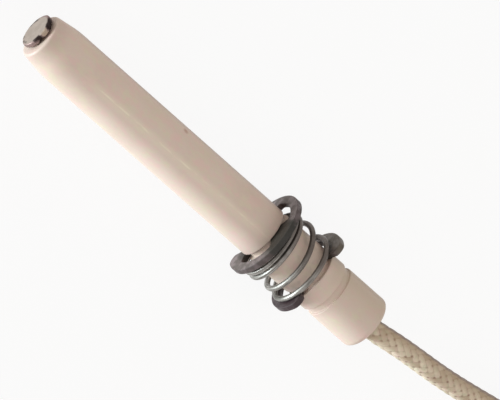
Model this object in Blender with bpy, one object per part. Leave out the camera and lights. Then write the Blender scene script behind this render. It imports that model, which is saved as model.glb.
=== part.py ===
"""Ignition electrode for a gas burner: a ceramic rod with a spark disc at its tip, held in a bracket
by two E-clips and a spring, and fed by a braided high-voltage lead with a push-on terminal.

The rod lies along X with its tip towards +X. The origin is under its middle, on the surface it lies on.
"""

import math

import bmesh
import bpy
from mathutils import Matrix, Vector

MM = 0.001
GAP = 0.3 * MM  # between pieces that touch on the real object

# Ceramic insulator. Stations are distances back from its front face.
CERAMIC_LENGTH = 66.8 * MM
NOSE_RADIUS = 4.1 * MM
BODY_RADIUS = 4.25 * MM
TIP_FACE_RADIUS = 3.25 * MM
TIP_LIP = (0.2 * MM, 0.1 * MM)  # the first step of its rounded edge, outwards and back
TIP_EDGE_RADIUS = 3.6 * MM
TIP_EDGE_DEPTH = 0.35 * MM
TAPER_LENGTH = 3.8 * MM
TAPER_END = (0.3 * MM, 0.4 * MM)  # how far before and after it the taper rounds into the nose
TAPER_SHORT = 0.03 * MM  # how far below the nose it starts to round
REAR_FACE_RADIUS = 3.7 * MM
REAR_CHAMFER_LENGTH = 0.6 * MM
REAR_CHAMFER_BULGE = 0.15 * MM
GROOVE_RADIUS = 3.5 * MM
GROOVE_WIDTH = 1.1 * MM
SPARE_GROOVE_RADIUS = 3.9 * MM
FRONT_GROOVE = 45.9 * MM
REAR_GROOVE = 54.6 * MM
SPARE_GROOVE = 58.5 * MM
GROOVE_EDGE = 0.12 * MM
ROD_BORE_RADIUS = 1.05 * MM
SOCKET_RADIUS = 1.95 * MM
SOCKET_DEPTH = 27.0 * MM
SOCKET_CONE = 0.9 * MM
MOUTH_RADIUS = 2.9 * MM
MOUTH_DEPTH = 6.0 * MM

# Spark disc and electrode rod
DISC_RADIUS = 2.75 * MM
DISC_THICKNESS = 0.8 * MM
DISC_STAND_OFF = 1.1 * MM  # its front face ahead of the ceramic
DISC_EDGE = 0.1 * MM
DISC_OFFSET = 0.2 * MM  # towards -Y, where it is welded on the rod
ROD_RADIUS = 0.75 * MM
ROD_REAR = 46.2 * MM  # station of its rear end
BAR_EDGE = 0.05 * MM

# E-clips for a 7 mm groove. Angles in degrees from the clip's back, in its own plane.
CLIP_RADIUS = 6.8 * MM
CLIP_THICKNESS = 0.9 * MM
CLIP_RECESS_RADIUS = 5.3 * MM
CLIP_GRIP_RADIUS = GROOVE_RADIUS + 0.2 * MM
CLIP_EDGE = 0.08 * MM
PRONG_SIDE = (20, 31)  # the middle prong's side, from its tip to the recess
RECESS_END = (97, 112)
LOBE_ANGLE = 122
LOBE_CENTRE_RADIUS = 5.5 * MM
LOBE_LEAD_IN = 0.6 * MM  # how far its inner corner is eased where it is pushed over the groove
FRONT_CLIP_TURN = math.radians(20)  # its back, from straight up towards -Y
REAR_CLIP_TURN = math.radians(190)  # its back points down, its opening up

# Compression spring between the clips
SPRING_WIRE = 0.85 * MM
SPRING_RADIUS = 5.7 * MM  # outside
SPRING_TABLE = [  # turn, station of the wire's centre, and how far the coil hangs to +Y, in mm
    (0.0, 46.88, 0.32),  # a tilted end coil behind the front clip
    (0.5, 47.6, 0.32),
    (1.0, 47.78, 0.34),
    (1.5, 48.7, 0.32),
    (2.0, 49.95, 0.16),  # open coils
    (2.25, 51.15, 0.1),
    (2.5, 51.65, 0.08),
    (3.0, 53.1, 0.26),
    (3.25, 53.58, 0.35),  # a flat end coil on the rear clip
    (3.75, 53.6, 0.36),
]
SPRING_STEPS = 24  # points in one turn

# High-voltage lead
CABLE_RADIUS = 1.65 * MM
BRAID_BORE = 1.3 * MM
CORE_RADIUS = 1.0 * MM
CONDUCTOR_RADIUS = 0.5 * MM
BRAID_INSIDE = 10.0 * MM  # how far each layer goes into the ceramic
CORE_INSIDE = 14.0 * MM
CONDUCTOR_INSIDE = 19.5 * MM
FERRULE_RADIUS = 1.6 * MM
FERRULE_BORE = 1.05 * MM
FERRULE_FROM = 15.5 * MM  # depths inside the ceramic's rear face
FERRULE_TO = 26.0 * MM
DENT_DEPTH = 0.15 * MM
DENT_SPACING = 5.2 * MM
DENT_HALF = (0.7 * MM, 1.2 * MM)  # half its length at the floor and at the surface
CEMENT_RADIUS = 2.6 * MM
CEMENT_FROM = 0.5 * MM
CEMENT_TO = 5.7 * MM
CEMENT_RISE = (0.2 * MM, 0.3 * MM)  # how far it creeps towards the face at its outside and at the lead

# Where the object stands
AXIS_HEIGHT = CLIP_RADIUS
TIP_X = CERAMIC_LENGTH / 2 - DISC_STAND_OFF / 2
REAR_X = TIP_X - CERAMIC_LENGTH

# Hank of the put-away lead: two turns and a run, folded in line with the electrode
LEVEL = 3.4 * MM  # one strand on another
FOLD_RADIUS = 10.0 * MM
HANK_NEAR = -73.65 * MM  # centre of the fold next to the electrode
HANK_RUN = 50.0 * MM
HANK_FAR = HANK_NEAR - HANK_RUN
HANK_MIDDLE_Y = 5.0 * MM
WAIST = 1.75 * MM  # from the hank's middle line to a strand's centre, under the tie
WAIST_LIFT = 1.25 * MM
WAIST_LIFT_LENGTH = 24.0 * MM
HANK_LEVELS = 3
STRAND_Y = HANK_MIDDLE_Y - FOLD_RADIUS

# Tie
TIE_WIDTH = 2.6 * MM
TIE_THICKNESS = 0.9 * MM
TIE_CORNERS = (1.6 * MM, 0.7 * MM)  # of the strap's loop, outside and inside
TIE_HEAD = (4.4 * MM, 4.6 * MM, 3.4 * MM)
HEAD_CHAMFER = (1.0 * MM, 0.8 * MM)
STUB_FROM_STRAP = 1.2 * MM  # the clipped end of the strap, where it comes out of the head
STUB_SUNK = 0.5 * MM
STUB_RISE = (1.2 * MM, 1.4 * MM)  # cut at a slant
STUB_WIDTH_SHARE = 0.9

# Push-on terminal for a 2.8 x 0.8 mm tab, in sheet of this thickness, along -X from its crimp's edge
TERMINAL_X = -156.0 * MM
TERMINAL_Z = 3.25 * MM
SHEET = 0.4 * MM
BRAID_CRIMP = (0.0, 2.4 * MM)
WIRE_CRIMP = (4.2 * MM, 7.0 * MM)
RECEPTACLE = (8.6 * MM, 15.0 * MM)
RECEPTACLE_WIDTH = 3.8 * MM
RECEPTACLE_HEIGHT = 1.7 * MM
RECEPTACLE_SLOT = 0.9 * MM
RECEPTACLE_CORNER = 0.25 * MM
WIRE_CRIMP_GAP = 14  # degrees between its wings
BRAID_CRIMP_GAP = 50
CRIMP_THINNING = 0.05 * MM  # of the wide crimp's wings, where they are drawn round the braid
SPINE_HALF_WIDTH = 0.7 * MM  # the strip's floor between crimps and receptacle
SPINE_SHARE = 0.7  # of the sheet's thickness that it keeps
SPINE_INSET = 0.05 * MM
SPINE_STEPS = (0.3 * MM, 0.2 * MM, -0.2 * MM, 0.3 * MM, 0.4 * MM)  # past each end of what it joins
FAR_CORE = (3.6 * MM, 2.5 * MM)
FAR_CONDUCTOR = (7.5 * MM, 3.9 * MM)
SLEEVE = (-3.0 * MM, 16.0 * MM)
SLEEVE_RADIUS = 3.2 * MM
SLEEVE_BORE = 2.6 * MM
NECK_BORE = CABLE_RADIUS + GAP
NECK_RADIUS = 2.7 * MM
NECK_LENGTH = 2.2 * MM
SLEEVE_EDGE = 0.2 * MM
SLEEVE_SHOULDER = 0.8 * MM  # the slope from neck to barrel, outside
SLEEVE_FUNNEL = (0.4 * MM, 0.3 * MM)  # the slope inside, before and after the neck's end

# The lead's free route, from the ceramic to the hank and from the hank to the terminal
RUN_ROUTE = [
    (-34.25, 0.0, 6.8),
    (-36.2, -0.1, 6.78),
    (-38.5, -0.42, 6.66),
    (-41.0, -0.72, 6.4),
    (-44.0, -0.98, 5.92),
    (-47.0, -1.22, 5.26),
    (-50.0, -1.52, 4.48),
    (-53.0, -1.91, 3.7),
    (-56.0, -2.36, 2.98),
    (-59.0, -2.85, 2.3),
    (-61.4, -3.25, 2.0),
]
TAIL_ROUTE = [
    (-135.6, -5.0, 8.47),
    (-138.0, -5.0, 8.3),
    (-141.0, -5.0, 7.65),
    (-144.0, -5.0, 6.6),
    (-147.0, -5.0, 5.4),
    (-150.0, -5.0, 4.28),
    (-152.5, -5.0, 3.58),
    (-155.0, -5.0, 3.27),
    (-156.5, -5.0, 3.25),
    (-158.2, -5.0, 3.25),
]

ROUND = 48  # segments of the larger round pieces
SMALL_ROUND = 24


def clear_scene():
    for obj in list(bpy.data.objects):
        bpy.data.objects.remove(obj, do_unlink=True)


def make_material(name, colour, roughness, metallic=0.0):
    material = bpy.data.materials.new(name)
    material.use_nodes = True
    shader = material.node_tree.nodes["Principled BSDF"]
    shader.inputs["Base Color"].default_value = (*colour, 1.0)
    shader.inputs["Roughness"].default_value = roughness
    shader.inputs["Metallic"].default_value = metallic
    return material


def make_materials():
    return {
        "ceramic": make_material("unglazed_ceramic", (0.72, 0.63, 0.54), 0.45),
        "disc": make_material("heat_resisting_steel", (0.42, 0.39, 0.34), 0.4, 1.0),
        "clip": make_material("phosphated_steel", (0.14, 0.12, 0.13), 0.5, 0.8),
        "zinc": make_material("zinc_plated_wire", (0.5, 0.53, 0.5), 0.32, 1.0),
        "braid": make_material("glass_fibre_braid", (0.58, 0.51, 0.37), 0.85),
        "silicone": make_material("silicone_rubber", (0.75, 0.72, 0.68), 0.5),
        "copper": make_material("tinned_copper", (0.62, 0.58, 0.54), 0.35, 1.0),
        "brass": make_material("tinned_brass", (0.6, 0.58, 0.52), 0.3, 1.0),
        "cement": make_material("sealing_cement", (0.68, 0.66, 0.6), 0.9),
        "nylon": make_material("nylon", (0.8, 0.79, 0.74), 0.4),
    }


def make_empty(name, location, parent=None, rotation=(0, 0, 0)):
    empty = bpy.data.objects.new(name, None)
    empty.empty_display_size = 5 * MM
    empty.location = location
    empty.rotation_euler = rotation
    empty.parent = parent
    bpy.context.scene.collection.objects.link(empty)
    return empty


def add_object(name, data, material, parent=None, location=(0, 0, 0), rotation=(0, 0, 0)):
    obj = bpy.data.objects.new(name, data)
    data.materials.append(material)
    obj.location = location
    obj.rotation_euler = rotation
    obj.parent = parent
    bpy.context.scene.collection.objects.link(obj)
    return obj


def smooth_shade(mesh, angle=30):
    mesh.shade_smooth()
    mesh.set_sharp_from_angle(angle=math.radians(angle))


def turned(name, profile, closed, material, parent, segments=ROUND):
    """Turns (radius, height) points, from top to bottom on the outer side, about the local Z axis."""
    mesh = bpy.data.meshes.new(name)
    edges = [(i, i + 1) for i in range(len(profile) - 1)]
    if closed:
        edges.append((len(profile) - 1, 0))
    mesh.from_pydata([(r, 0, z) for r, z in profile], edges, [])
    obj = add_object(name, mesh, material, parent)
    screw = obj.modifiers.new("turn", "SCREW")
    screw.angle = math.tau
    screw.steps = segments
    screw.render_steps = segments
    screw.use_merge_vertices = True
    screw.merge_threshold = 0.00001
    screw.use_smooth_shade = True
    return obj


def rod(name, radius, top, bottom, edge, material, parent, segments=SMALL_ROUND):
    """A solid bar with slightly broken edges, from top to bottom along the local Z axis."""
    profile = [
        (0, top),
        (radius - edge, top),
        (radius, top - edge),
        (radius, bottom + edge),
        (radius - edge, bottom),
        (0, bottom),
    ]
    return turned(name, profile, False, material, parent, segments)


def tube(name, outer, inner, top, bottom, material, parent, segments=SMALL_ROUND):
    profile = [(inner, top), (outer, top), (outer, bottom), (inner, bottom)]
    return turned(name, profile, True, material, parent, segments)


def along(station):
    """Height on the electrode's axis of a station behind the ceramic's front face."""
    return TIP_X - station


def make_ceramic(material, axis):
    profile = [
        (ROD_BORE_RADIUS, along(0)),
        (TIP_FACE_RADIUS, along(0)),
        (TIP_FACE_RADIUS + TIP_LIP[0], along(TIP_LIP[1])),
        (TIP_EDGE_RADIUS, along(TIP_EDGE_DEPTH)),
        (NOSE_RADIUS - TAPER_SHORT, along(TAPER_LENGTH - TAPER_END[0])),
        (NOSE_RADIUS, along(TAPER_LENGTH + TAPER_END[1])),
    ]
    for groove, before, floor, after in (
        (FRONT_GROOVE, NOSE_RADIUS, GROOVE_RADIUS, NOSE_RADIUS),
        (REAR_GROOVE, NOSE_RADIUS, GROOVE_RADIUS, BODY_RADIUS),
        (SPARE_GROOVE, BODY_RADIUS, SPARE_GROOVE_RADIUS, BODY_RADIUS),
    ):
        front, rear = groove - GROOVE_WIDTH / 2, groove + GROOVE_WIDTH / 2
        profile += [
            (before, along(front - GROOVE_EDGE)),
            (before - GROOVE_EDGE, along(front)),
            (floor, along(front)),
            (floor, along(rear)),
            (after - GROOVE_EDGE, along(rear)),
            (after, along(rear + GROOVE_EDGE)),
        ]
    profile += [
        (BODY_RADIUS, along(CERAMIC_LENGTH - REAR_CHAMFER_LENGTH)),
        (BODY_RADIUS - REAR_CHAMFER_BULGE, along(CERAMIC_LENGTH - REAR_CHAMFER_LENGTH / 2)),
        (REAR_FACE_RADIUS, along(CERAMIC_LENGTH)),
        (MOUTH_RADIUS, along(CERAMIC_LENGTH)),
        (MOUTH_RADIUS, along(CERAMIC_LENGTH - MOUTH_DEPTH)),
        (SOCKET_RADIUS, along(CERAMIC_LENGTH - MOUTH_DEPTH)),
        (SOCKET_RADIUS, along(CERAMIC_LENGTH - SOCKET_DEPTH)),
        (ROD_BORE_RADIUS, along(CERAMIC_LENGTH - SOCKET_DEPTH - SOCKET_CONE)),
    ]
    turned("ceramic_insulator", profile, True, material, axis)


def make_disc(material, axis):
    top = along(-DISC_STAND_OFF)
    disc = rod("spark_disc", DISC_RADIUS, top, top - DISC_THICKNESS, DISC_EDGE, material, axis, ROUND)
    disc.location.y = -DISC_OFFSET


def union_with(obj, mesh, material, parent):
    """Joins a mesh in the same frame to the object with a Boolean, and hides the helper."""
    helper = add_object(obj.name + "_" + mesh.name, mesh, material, parent)
    helper.hide_render = True
    helper.display_type = "WIRE"
    join = obj.modifiers.new(mesh.name, "BOOLEAN")
    join.operation = "UNION"
    join.solver = "EXACT"
    join.object = helper
    return helper


def polar(radius, angle):
    """A point of a clip's outline: angle from its back, in the clip's own plane."""
    return Vector((radius * math.sin(angle), radius * math.cos(angle)))


def ramp(value, low, high):
    """0 before low and 1 after high, with a soft start and end."""
    t = min(max((value - low) / (high - low), 0.0), 1.0)
    return t * t * (3 - 2 * t)


def clip_outline():
    """Half of the E-clip's outline, from the middle prong's tip round its open end to the back."""
    points = []
    step = 3
    for degrees in range(0, RECESS_END[1] + step, step):
        open_share = ramp(degrees, *PRONG_SIDE) - ramp(degrees, *RECESS_END)
        radius = CLIP_GRIP_RADIUS + (CLIP_RECESS_RADIUS - CLIP_GRIP_RADIUS) * open_share
        points.append(polar(radius, math.radians(degrees)))
    points.append(polar(CLIP_GRIP_RADIUS, math.radians(LOBE_ANGLE - 4)))
    points.append(polar(CLIP_GRIP_RADIUS, math.radians(LOBE_ANGLE + 5)))
    points.append(polar(CLIP_GRIP_RADIUS + LOBE_LEAD_IN, math.radians(LOBE_ANGLE + 8)))
    lobe_centre = polar(LOBE_CENTRE_RADIUS, math.radians(LOBE_ANGLE))
    lobe_radius = CLIP_RADIUS - LOBE_CENTRE_RADIUS
    for turn in range(LOBE_ANGLE + 96, LOBE_ANGLE, -12):
        points.append(lobe_centre + polar(lobe_radius, math.radians(turn)))
    for degrees in range(LOBE_ANGLE, -1, -5):
        points.append(polar(CLIP_RADIUS, math.radians(degrees)))
    return points


def make_clip(name, station, turn, material, axis):
    half = clip_outline()
    mirrored = [Vector((-p.x, p.y)) for p in reversed(half[1:-1])]
    outline = half + mirrored
    shape = bmesh.new()
    # The clip's back points up the local -X axis, which is the world's +Z.
    rim = [shape.verts.new((-p.y, p.x, -CLIP_THICKNESS / 2)) for p in outline]
    face = shape.faces.new(rim)
    raised = bmesh.ops.extrude_face_region(shape, geom=[face])
    top = [v for v in raised["geom"] if isinstance(v, bmesh.types.BMVert)]
    bmesh.ops.translate(shape, verts=top, vec=(0, 0, CLIP_THICKNESS))
    bmesh.ops.recalc_face_normals(shape, faces=shape.faces)
    mesh = bpy.data.meshes.new(name)
    shape.to_mesh(mesh)
    shape.free()
    smooth_shade(mesh, 25)
    clip = add_object(name, mesh, material, axis, (0, 0, along(station)), (0, 0, turn))
    bevel = clip.modifiers.new("stamped_edge", "BEVEL")
    bevel.width = CLIP_EDGE
    bevel.segments = 1
    bevel.limit_method = "ANGLE"
    bevel.angle_limit = math.radians(60)
    return clip


def spring_place(turns):
    """Station and offset of the coil at a turn, on a smooth curve through the spring's table."""
    knots = [Vector(row) for row in SPRING_TABLE]
    knots = [knots[0]] + knots + [knots[-1]]
    for before, start, end, after in zip(knots, knots[1:], knots[2:], knots[3:]):
        if turns <= end[0]:
            break
    span = end[0] - start[0]
    t = (turns - start[0]) / span
    rise_in = (end - before) / (end[0] - before[0]) * span
    rise_out = (after - start) / (after[0] - start[0]) * span
    place = start * (2 * t**3 - 3 * t**2 + 1) + end * (3 * t**2 - 2 * t**3)
    place += rise_in * (t**3 - 2 * t**2 + t) + rise_out * (t**3 - t**2)
    return place[1] * MM, place[2] * MM


def make_spring(material, slide):
    """A right-handed coil about the local Z axis, whose first end lies behind the front clip at -Y."""
    mean = SPRING_RADIUS - SPRING_WIRE / 2
    last = SPRING_TABLE[-1][0]
    points = []
    for step in range(round(last * SPRING_STEPS) + 1):
        turns = step / SPRING_STEPS
        angle = math.tau * turns
        station, offset = spring_place(turns)
        height = along(station) - slide.location.z
        points.append((-mean * math.sin(angle), offset - mean * math.cos(angle), height))
    wire = wire_curve("mounting_spring", points, SPRING_WIRE / 2, 2)
    add_object("mounting_spring", wire, material, slide)


def wire_curve(name, points, radius, resolution):
    curve = bpy.data.curves.new(name, "CURVE")
    curve.dimensions = "3D"
    curve.bevel_depth = radius
    curve.bevel_resolution = resolution
    curve.use_fill_caps = True
    curve.twist_mode = "MINIMUM"
    line = curve.splines.new("POLY")
    line.points.add(len(points) - 1)
    for point, place in zip(line.points, points):
        point.co = (*place, 1.0)
    line.use_smooth = True
    return curve


def make_lead_in_socket(materials, axis):
    """The lead's layers, stripped back in steps inside the ceramic, and what joins them to the rod."""
    mouth = REAR_X

    def depth(d):
        return mouth + d

    tube("braid_end", CABLE_RADIUS, BRAID_BORE, depth(BRAID_INSIDE), depth(0), materials["braid"], axis)
    rod("core_end", CORE_RADIUS, depth(CORE_INSIDE), depth(0), BAR_EDGE, materials["silicone"], axis)
    rod(
        "conductor_end",
        CONDUCTOR_RADIUS,
        depth(CONDUCTOR_INSIDE),
        depth(CORE_INSIDE + GAP),
        BAR_EDGE,
        materials["copper"],
        axis,
        16,
    )
    front, rear = depth(FERRULE_TO), depth(FERRULE_FROM)
    middle = (front + rear) / 2
    floor, surface = DENT_HALF
    outline = [(FERRULE_BORE, front), (FERRULE_RADIUS, front)]
    for place in (middle + DENT_SPACING / 2, middle - DENT_SPACING / 2):
        outline += [
            (FERRULE_RADIUS, place + surface),
            (FERRULE_RADIUS - DENT_DEPTH, place + floor),
            (FERRULE_RADIUS - DENT_DEPTH, place - floor),
            (FERRULE_RADIUS, place - surface),
        ]
    outline += [(FERRULE_RADIUS, rear), (FERRULE_BORE, rear)]
    turned("crimp_ferrule", outline, True, materials["brass"], axis, SMALL_ROUND)
    cement = [
        (CABLE_RADIUS + GAP, depth(CEMENT_TO)),
        (CEMENT_RADIUS, depth(CEMENT_TO)),
        (CEMENT_RADIUS, depth(CEMENT_FROM - CEMENT_RISE[0])),
        ((CEMENT_RADIUS + CABLE_RADIUS + GAP) / 2, depth(CEMENT_FROM)),
        (CABLE_RADIUS + GAP, depth(CEMENT_FROM - CEMENT_RISE[1])),
    ]
    turned("socket_cement", cement, True, materials["cement"], axis, SMALL_ROUND)


def smooth_line(route, spacing):
    """Points about one spacing apart on a smooth curve through a route given in millimetres."""
    knots = [Vector(p) * MM for p in route]
    knots = [2 * knots[0] - knots[1]] + knots + [2 * knots[-1] - knots[-2]]
    fine = []
    for a, b, c, d in zip(knots, knots[1:], knots[2:], knots[3:]):
        for step in range(8):
            t = step / 8
            bend = (2 * a - 5 * b + 4 * c - d) * t**2 + (3 * b - a - 3 * c + d) * t**3
            fine.append(0.5 * (2 * b + (c - a) * t + bend))
    fine.append(knots[-2])
    length = sum((b - a).length for a, b in zip(fine, fine[1:]))
    count = max(2, round(length / spacing))
    points, walked, target = [fine[0]], 0.0, length / count
    for a, b in zip(fine, fine[1:]):
        piece = (b - a).length
        while walked + piece >= target - 1e-9 and len(points) < count:
            points.append(a.lerp(b, (target - walked) / piece))
            target += length / count
        walked += piece
    return points + [fine[-1]]


def make_cable(name, route, material):
    points = smooth_line(route, 2.2 * CABLE_RADIUS)
    add_object(name, wire_curve(name, points, CABLE_RADIUS, 2), material)


def strand_offset(x):
    """Distance of a strand's centre from the hank's middle line: wide at the folds, close under the tie."""
    along_run = (x - HANK_FAR) / HANK_RUN
    return WAIST + (FOLD_RADIUS - WAIST) * (0.5 + 0.5 * math.cos(math.tau * along_run))


def waist_lift(x):
    """How far the tie's strap lifts the strands off the surface."""
    t = abs(x - (HANK_NEAR + HANK_FAR) / 2) / WAIST_LIFT_LENGTH
    return WAIST_LIFT * (0.5 + 0.5 * math.cos(math.pi * min(t, 1.0)))


def make_hank(material):
    """The outer shape of the folded strands, as a loft of rectangles along X."""
    outer = FOLD_RADIUS + CABLE_RADIUS
    height = CABLE_RADIUS * 2 + (HANK_LEVELS - 1) * LEVEL
    fold_steps, run_steps = 7, 20
    sections = []
    for step in range(fold_steps):
        turn = math.radians(85 - step * 85 / fold_steps)
        sections.append((HANK_NEAR + outer * math.sin(turn), outer, outer * math.cos(turn)))
    for step in range(run_steps + 1):
        x = HANK_NEAR - HANK_RUN * step / run_steps
        width = strand_offset(x) + CABLE_RADIUS
        sections.append((x, width, width))
    for step in range(1, fold_steps + 1):
        turn = math.radians(step * 85 / fold_steps)
        sections.append((HANK_FAR - outer * math.sin(turn), outer, outer * math.cos(turn)))
    shape = bmesh.new()
    rings = []
    for x, low, high in sections:
        floor = waist_lift(x)
        corners = [
            (HANK_MIDDLE_Y - low, floor),
            (HANK_MIDDLE_Y + high, floor),
            (HANK_MIDDLE_Y + high, floor + height),
            (HANK_MIDDLE_Y - low, floor + height),
        ]
        rings.append([shape.verts.new((x, y, z)) for y, z in corners])
    for a, b in zip(rings, rings[1:]):
        for i in range(4):
            shape.faces.new((a[i], a[(i + 1) % 4], b[(i + 1) % 4], b[i]))
    shape.faces.new(rings[0])
    shape.faces.new(rings[-1])
    bmesh.ops.recalc_face_normals(shape, faces=shape.faces)
    mesh = bpy.data.meshes.new("cable_hank")
    shape.to_mesh(mesh)
    shape.free()
    smooth_shade(mesh)
    add_object("cable_hank", mesh, material)


def extruded(name, outline, start, end, to_world):
    """A mesh of a flat outline pushed from start to end. to_world places (a, b, depth)."""
    shape = bmesh.new()
    face = shape.faces.new([shape.verts.new(to_world(a, b, start)) for a, b in outline])
    raised = bmesh.ops.extrude_face_region(shape, geom=[face])
    shift = Vector(to_world(0, 0, end)) - Vector(to_world(0, 0, start))
    top = [v for v in raised["geom"] if isinstance(v, bmesh.types.BMVert)]
    bmesh.ops.translate(shape, verts=top, vec=shift)
    bmesh.ops.recalc_face_normals(shape, faces=shape.faces)
    mesh = bpy.data.meshes.new(name)
    shape.to_mesh(mesh)
    shape.free()
    return mesh


def rounded_rectangle(half_width, half_height, radius, steps=4):
    points = []
    for quarter in range(4):
        turn = quarter * math.pi / 2
        across = (1, -1, -1, 1)[quarter]
        up = (1, 1, -1, -1)[quarter]
        centre = (across * (half_width - radius), up * (half_height - radius))
        for step in range(steps + 1):
            angle = turn + step * math.pi / 2 / steps
            points.append((centre[0] + radius * math.cos(angle), centre[1] + radius * math.sin(angle)))
    return points


def make_tie(material):
    """A small strap round the hank's waist, with its locking head and the clipped end of the strap."""
    middle = (HANK_NEAR + HANK_FAR) / 2
    inner_width = WAIST + CABLE_RADIUS + GAP
    height = CABLE_RADIUS * 2 + (HANK_LEVELS - 1) * LEVEL
    inner_height = height / 2 + GAP
    centre_z = WAIST_LIFT + height / 2

    def place(a, b, depth):
        return (middle + depth, HANK_MIDDLE_Y + a, centre_z + b)

    half = TIE_WIDTH / 2
    outer = rounded_rectangle(inner_width + TIE_THICKNESS, inner_height + TIE_THICKNESS, TIE_CORNERS[0])
    inner = rounded_rectangle(inner_width, inner_height, TIE_CORNERS[1])
    tie = add_object("hank_tie", extruded("strap", outer, -half, half, place), material)
    opening = extruded("opening", inner, -TIE_WIDTH, TIE_WIDTH, place)
    cutter = add_object("tie_opening", opening, material)
    cutter.hide_render = True
    cutter.display_type = "WIRE"
    cut = tie.modifiers.new("opening", "BOOLEAN")
    cut.operation = "DIFFERENCE"
    cut.solver = "EXACT"
    cut.object = cutter
    long, wide, tall = TIE_HEAD
    side = inner_width + TIE_THICKNESS / 2
    across, up = HEAD_CHAMFER
    head = [
        (side, -tall / 2),
        (side + wide - across, -tall / 2),
        (side + wide, -tall / 2 + up),
        (side + wide, tall / 2 - up),
        (side + wide - across, tall / 2),
        (side, tall / 2),
    ]
    union_with(tie, extruded("head", head, -long / 2, long / 2, place), material, None)
    stub_side = side + STUB_FROM_STRAP
    stub = [
        (stub_side, tall / 2 - STUB_SUNK),
        (stub_side + TIE_THICKNESS, tall / 2 - STUB_SUNK),
        (stub_side + TIE_THICKNESS, tall / 2 + STUB_RISE[1]),
        (stub_side, tall / 2 + STUB_RISE[0]),
    ]
    stub_half = half * STUB_WIDTH_SHARE
    union_with(tie, extruded("stub", stub, -stub_half, stub_half, place), material, None)


def wrap_outline(inner, outer, gap_degrees, steps=18):
    """An open ring of sheet metal whose wings stop short of each other at the top."""
    start = math.radians(90 + gap_degrees / 2)
    sweep = math.radians(360 - gap_degrees)
    turns = [start + sweep * i / steps for i in range(steps + 1)]
    points = [(outer * math.cos(t), outer * math.sin(t)) for t in turns]
    return points + [(inner * math.cos(t), inner * math.sin(t)) for t in reversed(turns)]


def make_terminal(materials):
    """A receptacle rolled from one strip of sheet, with a crimp on the wire and one on the braid."""

    def place(a, b, depth):
        return (TERMINAL_X - depth, STRAND_Y + a, TERMINAL_Z + b)

    half, low = RECEPTACLE_WIDTH / 2, -RECEPTACLE_HEIGHT / 2
    lip = RECEPTACLE_SLOT / 2
    corner = RECEPTACLE_CORNER
    channel = [
        (-half + corner, low),
        (half - corner, low),
        (half, low + corner),
        (half, -low - corner),
        (half - corner, -low),
        (lip, -low),
        (lip, -low - SHEET),
        (half - SHEET, -low - SHEET),
        (half - SHEET, low + SHEET),
        (-half + SHEET, low + SHEET),
        (-half + SHEET, -low - SHEET),
        (-lip, -low - SHEET),
        (-lip, -low),
        (-half + corner, -low),
        (-half, -low - corner),
        (-half, low + corner),
    ]
    receptacle = extruded("receptacle", channel, *RECEPTACLE, place)
    terminal = add_object("terminal", receptacle, materials["brass"])
    wire_bore = CONDUCTOR_RADIUS + GAP
    braid_bore = CABLE_RADIUS + GAP
    wire_outline = wrap_outline(wire_bore, wire_bore + SHEET, WIRE_CRIMP_GAP)
    wire_crimp = extruded("wire_crimp", wire_outline, *WIRE_CRIMP, place)
    braid_outline = wrap_outline(braid_bore, braid_bore + SHEET - CRIMP_THINNING, BRAID_CRIMP_GAP)
    braid_crimp = extruded("braid_crimp", braid_outline, *BRAID_CRIMP, place)
    # The strip's floor steps up from the wide crimp to the narrow one and down to the receptacle.
    deep, shallow = -braid_bore - SPINE_INSET, -wire_bore - SPINE_INSET
    floor = low + SHEET - SPINE_INSET
    starts = (BRAID_CRIMP[0], BRAID_CRIMP[1], WIRE_CRIMP[0], WIRE_CRIMP[1], RECEPTACLE[0])
    heights = (deep, deep, shallow, shallow, floor)
    upper = [(start + step, height) for start, step, height in zip(starts, SPINE_STEPS, heights)]
    strip = upper + [(u, w - SHEET * SPINE_SHARE) for u, w in reversed(upper)]

    def place_strip(a, b, depth):
        return (TERMINAL_X - a, STRAND_Y + depth, TERMINAL_Z + b)

    spine = extruded("spine", strip, -SPINE_HALF_WIDTH, SPINE_HALF_WIDTH, place_strip)
    for mesh in (spine, wire_crimp, braid_crimp):
        union_with(terminal, mesh, materials["brass"], None)


def make_terminal_end(materials):
    """The lead's stripped end in the terminal and the sleeve over both, turned about the terminal's axis."""
    end = make_empty("terminal_axis", (TERMINAL_X, STRAND_Y, TERMINAL_Z), None, (0, -math.pi / 2, 0))
    rod("far_core_end", CORE_RADIUS, *FAR_CORE, BAR_EDGE, materials["silicone"], end)
    rod("far_conductor_end", CONDUCTOR_RADIUS, *FAR_CONDUCTOR, BAR_EDGE, materials["copper"], end, 16)
    low, high = SLEEVE
    edge = SLEEVE_EDGE
    profile = [
        (SLEEVE_BORE, high),
        (SLEEVE_RADIUS - edge, high),
        (SLEEVE_RADIUS, high - edge),
        (SLEEVE_RADIUS, low + NECK_LENGTH + SLEEVE_SHOULDER),
        (NECK_RADIUS, low + NECK_LENGTH),
        (NECK_RADIUS, low + edge),
        (NECK_RADIUS - edge, low),
        (NECK_BORE, low),
        (NECK_BORE, low + NECK_LENGTH - SLEEVE_FUNNEL[0]),
        (SLEEVE_BORE, low + NECK_LENGTH + SLEEVE_FUNNEL[1]),
    ]
    turned("terminal_sleeve", profile, True, materials["silicone"], end, 32)


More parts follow.
